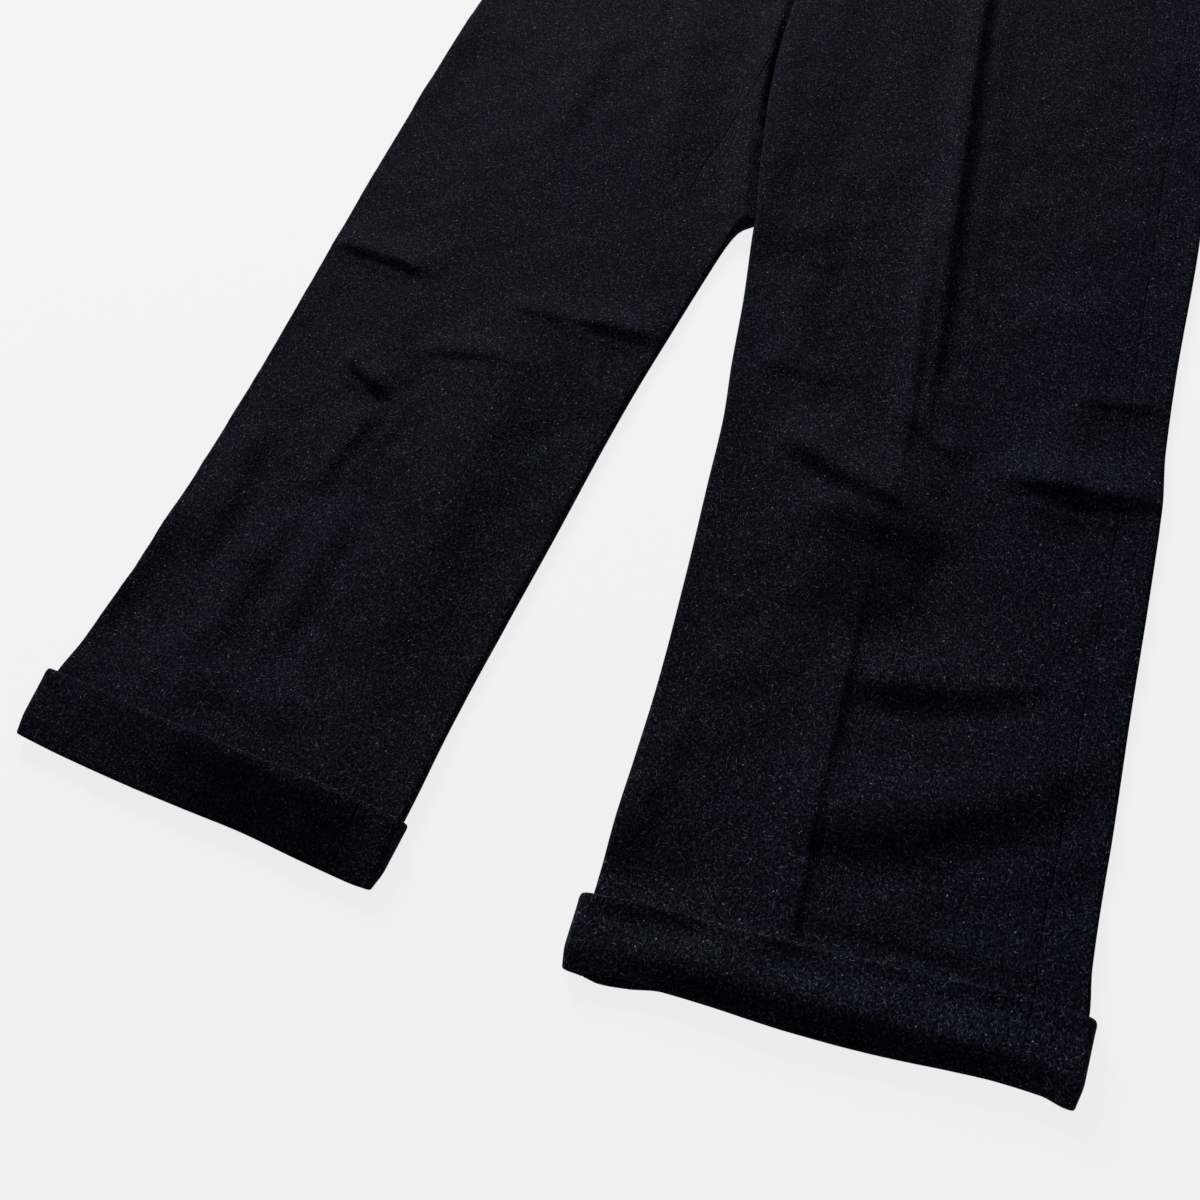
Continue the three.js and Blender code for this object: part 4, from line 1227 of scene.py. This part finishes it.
class TROUSERS_OT_waistband(bpy.types.Operator):
    """Makes the two halves of the waistband"""

    bl_idname = "trousers.waistband"
    bl_label = "Waistband"

    def execute(self, context):
        wool = finish_named("melange wool", wool_finish)
        piece = waistband_piece("band_left", left, -TAB_REACH, SEAT_SEAM_X, TAB_RISE, WAISTBAND_STEP)
        dress(piece, "waistband_left", wool)
        seat = SEAT_SEAM_X - SHELL_GAP / 2
        piece = waistband_piece("band_right", right, 0, seat, 0, WAISTBAND_STEP)
        dress(piece, "waistband_right", wool)
        return {"FINISHED"}


def hair_line(x, y, z, draw, length):
    """Points of a short curled hair that lies on the cloth"""
    angle, bend = draw.uniform(0, math.tau), draw.normal(0, HAIR_BEND)
    part = length / (HAIR_POINTS - 1)
    points = []
    for i in range(HAIR_POINTS):
        points.append((x, y, z + HAIR_LIFT + HAIR_ARCH * math.sin(math.pi * i / (HAIR_POINTS - 1))))
        x += part * math.cos(angle)
        y += part * math.sin(angle)
        angle += bend
    return points


class TROUSERS_OT_hairs(bpy.types.Operator):
    """Makes the pale hairs of the nap that stand out, and the bits of lint"""

    bl_idname = "trousers.hairs"
    bl_label = "Hairs and lint"

    def execute(self, context):
        draw = np.random.default_rng(41)
        lines = []
        for leg in (left, right):
            for _ in range(HAIRS):
                y = draw.uniform(*HAIR_HEIGHTS)
                low = float(leg.inner(y)) + HAIRS_FROM_INNER
                high = float(leg.outer(y)) - HAIRS_FROM_OUTER
                anywhere = draw.random() < HAIRS_INSIDE
                x = leg.sign * (draw.uniform(low, high) if anywhere else draw.choice((low, high)))
                lines.append(hair_line(x, y, float(leg.face(x, y)), draw, draw.uniform(*HAIR_LENGTHS)))
        for x, y, length in LINT:
            z = float((left if x > 0 else right).face(x, y))
            lines.append(hair_line(x, y, z, draw, length))
        path = bpy.data.curves.new("hairs", "CURVE")
        path.dimensions = "3D"
        path.bevel_depth = HAIR_RADIUS
        path.bevel_resolution = 0
        for points in lines:
            spline = path.splines.new("POLY")
            spline.points.add(len(points) - 1)
            for point, place in zip(spline.points, points):
                point.co = (*((Vector(place) + CROTCH) * MM), 1)
        strands = bpy.data.objects.new("hair path", path)
        context.scene.collection.objects.link(strands)
        mesh = bpy.data.meshes.new_from_object(strands.evaluated_get(context.evaluated_depsgraph_get()))
        bpy.data.objects.remove(strands)
        hairs = bpy.data.objects.new("hairs", mesh)
        context.scene.collection.objects.link(hairs)
        hairs.data.materials.clear()
        hairs.data.materials.append(finish_named("pale hair", lint_finish))
        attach(hairs, "root")
        return {"FINISHED"}


class TROUSERS_OT_button(bpy.types.Operator):
    """Makes the waist button, with its raised rim and its dished middle"""

    bl_idname = "trousers.button"
    bl_label = "Waist button"

    def execute(self, context):
        horn = finish_named("dark horn", horn_finish)
        low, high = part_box("waist_button")
        centre, radius = (low + high) / 2, (high.x - low.x) / 2
        thick = high.z - low.z
        bm = bmesh.new()
        verts = [bm.verts.new((r * radius, 0, low.z + z * thick)) for r, z in BUTTON_PROFILE]
        edges = [bm.edges.new(ends) for ends in zip(verts[:-1], verts[1:])]
        bmesh.ops.spin(
            bm, geom=[*verts, *edges], cent=(0, 0, 0), axis=(0, 0, 1), angle=math.tau,
            steps=BUTTON_SIDES, use_merge=True,
        )
        bmesh.ops.remove_doubles(bm, verts=bm.verts[:], dist=1e-6)
        bmesh.ops.recalc_face_normals(bm, faces=bm.faces[:])
        bmesh.ops.translate(bm, verts=bm.verts[:], vec=(centre.x, centre.y, 0))
        button = object_from(bm, "button")
        smooth_shading(button)
        button.data.materials.append(horn)
        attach(button, "root")
        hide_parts("waist_button")
        return {"FINISHED"}


class TROUSERS_OT_stage(bpy.types.Operator):
    """Makes the pale floor, the soft light and the camera"""

    bl_idname = "trousers.stage"
    bl_label = "Stage"

    def execute(self, context):
        settings = context.scene.trousers_stage
        scene = context.scene
        scene.view_settings.view_transform = "Standard"
        bm = bmesh.new()
        bmesh.ops.create_grid(bm, x_segments=1, y_segments=1, size=FLOOR_REACH)
        bmesh.ops.translate(bm, verts=bm.verts[:], vec=(0, 0, -FLOOR_DROP))
        floor = object_from(bm, "floor")
        pale = Finish("floor", Roughness=1.0)
        pale.shader.inputs["Specular IOR Level"].default_value = 0.0
        pale.shader.inputs["Base Color"].default_value = (FLOOR_SHADED, FLOOR_SHADED, FLOOR_SHADED, 1)
        pale.shader.inputs["Emission Color"].default_value = (1, 1, 1, 1)
        pale.shader.inputs["Emission Strength"].default_value = settings.floor - FLOOR_SHADED
        floor.data.materials.append(pale.data)

        world = bpy.data.worlds.new("soft light")
        world.use_nodes = True
        background = world.node_tree.nodes["Background"].inputs
        background["Strength"].default_value = SKY
        background["Color"].default_value = (1, 1, 1, 1)
        scene.world = world
        window = bpy.data.lights.new("window", "AREA")
        window.energy = settings.key
        window.size = LIGHT_SIZE
        light = bpy.data.objects.new("window", window)
        towards = Vector(LIGHT_FROM).normalized()
        place = Matrix.Translation(towards * LIGHT_AWAY)
        light.matrix_world = place @ towards.to_track_quat("Z", "Y").to_matrix().to_4x4()
        scene.collection.objects.link(light)

        looks_at = (Vector(LOOKS_AT) + CROTCH) * MM
        az, el = settings.azimuth, settings.elevation
        back = Vector((math.sin(az) * math.cos(el), -math.cos(az) * math.cos(el), math.sin(el)))
        sideways = Vector((math.cos(az), math.sin(az), 0))
        turn = Matrix.Rotation(settings.roll, 3, back)
        upright = Matrix((sideways, back.cross(sideways), back)).transposed()
        camera_data = bpy.data.cameras.new("camera")
        camera_data.lens = settings.lens
        camera_data.sensor_width = SENSOR
        camera = bpy.data.objects.new("camera", camera_data)
        camera.matrix_world = Matrix.Translation(looks_at + back * settings.distance) @ (
            turn @ upright
        ).to_4x4()
        scene.collection.objects.link(camera)
        scene.camera = camera
        return {"FINISHED"}


class TROUSERS_PT_panel(bpy.types.Panel):
    """Lists the pieces and their settings"""

    bl_idname = "TROUSERS_PT_panel"
    bl_label = "Wool trousers"
    bl_space_type = "VIEW_3D"
    bl_region_type = "UI"
    bl_category = "Trousers"

    def draw(self, context):
        layout = self.layout
        for group in PROPERTIES:
            settings = getattr(context.scene, group)
            for name in settings.bl_rna.properties.keys()[2:]:
                layout.prop(settings, name)
        for operator in OPERATORS:
            layout.operator(operator.bl_idname)


PROPERTIES = {
    "trousers_cloth": ClothSizes,
    "trousers_colours": ClothColours,
    "trousers_stage": StageSettings,
}
OPERATORS = (
    TROUSERS_OT_stage,
    TROUSERS_OT_fronts,
    TROUSERS_OT_backs,
    TROUSERS_OT_turnups,
    TROUSERS_OT_waistband,
    TROUSERS_OT_button,
    TROUSERS_OT_hairs,
)
CLASSES = (*PROPERTIES.values(), *OPERATORS, TROUSERS_PT_panel)


def register():
    for made in CLASSES:
        bpy.utils.register_class(made)
    for name, group in PROPERTIES.items():
        setattr(bpy.types.Scene, name, PointerProperty(type=group))


def unregister():
    for name in PROPERTIES:
        delattr(bpy.types.Scene, name)
    for made in reversed(CLASSES):
        bpy.utils.unregister_class(made)


def main():
    register()
    for operator in OPERATORS:
        area, name = operator.bl_idname.split(".")
        getattr(getattr(bpy.ops, area), name)()


if __name__ == "__main__":
    main()
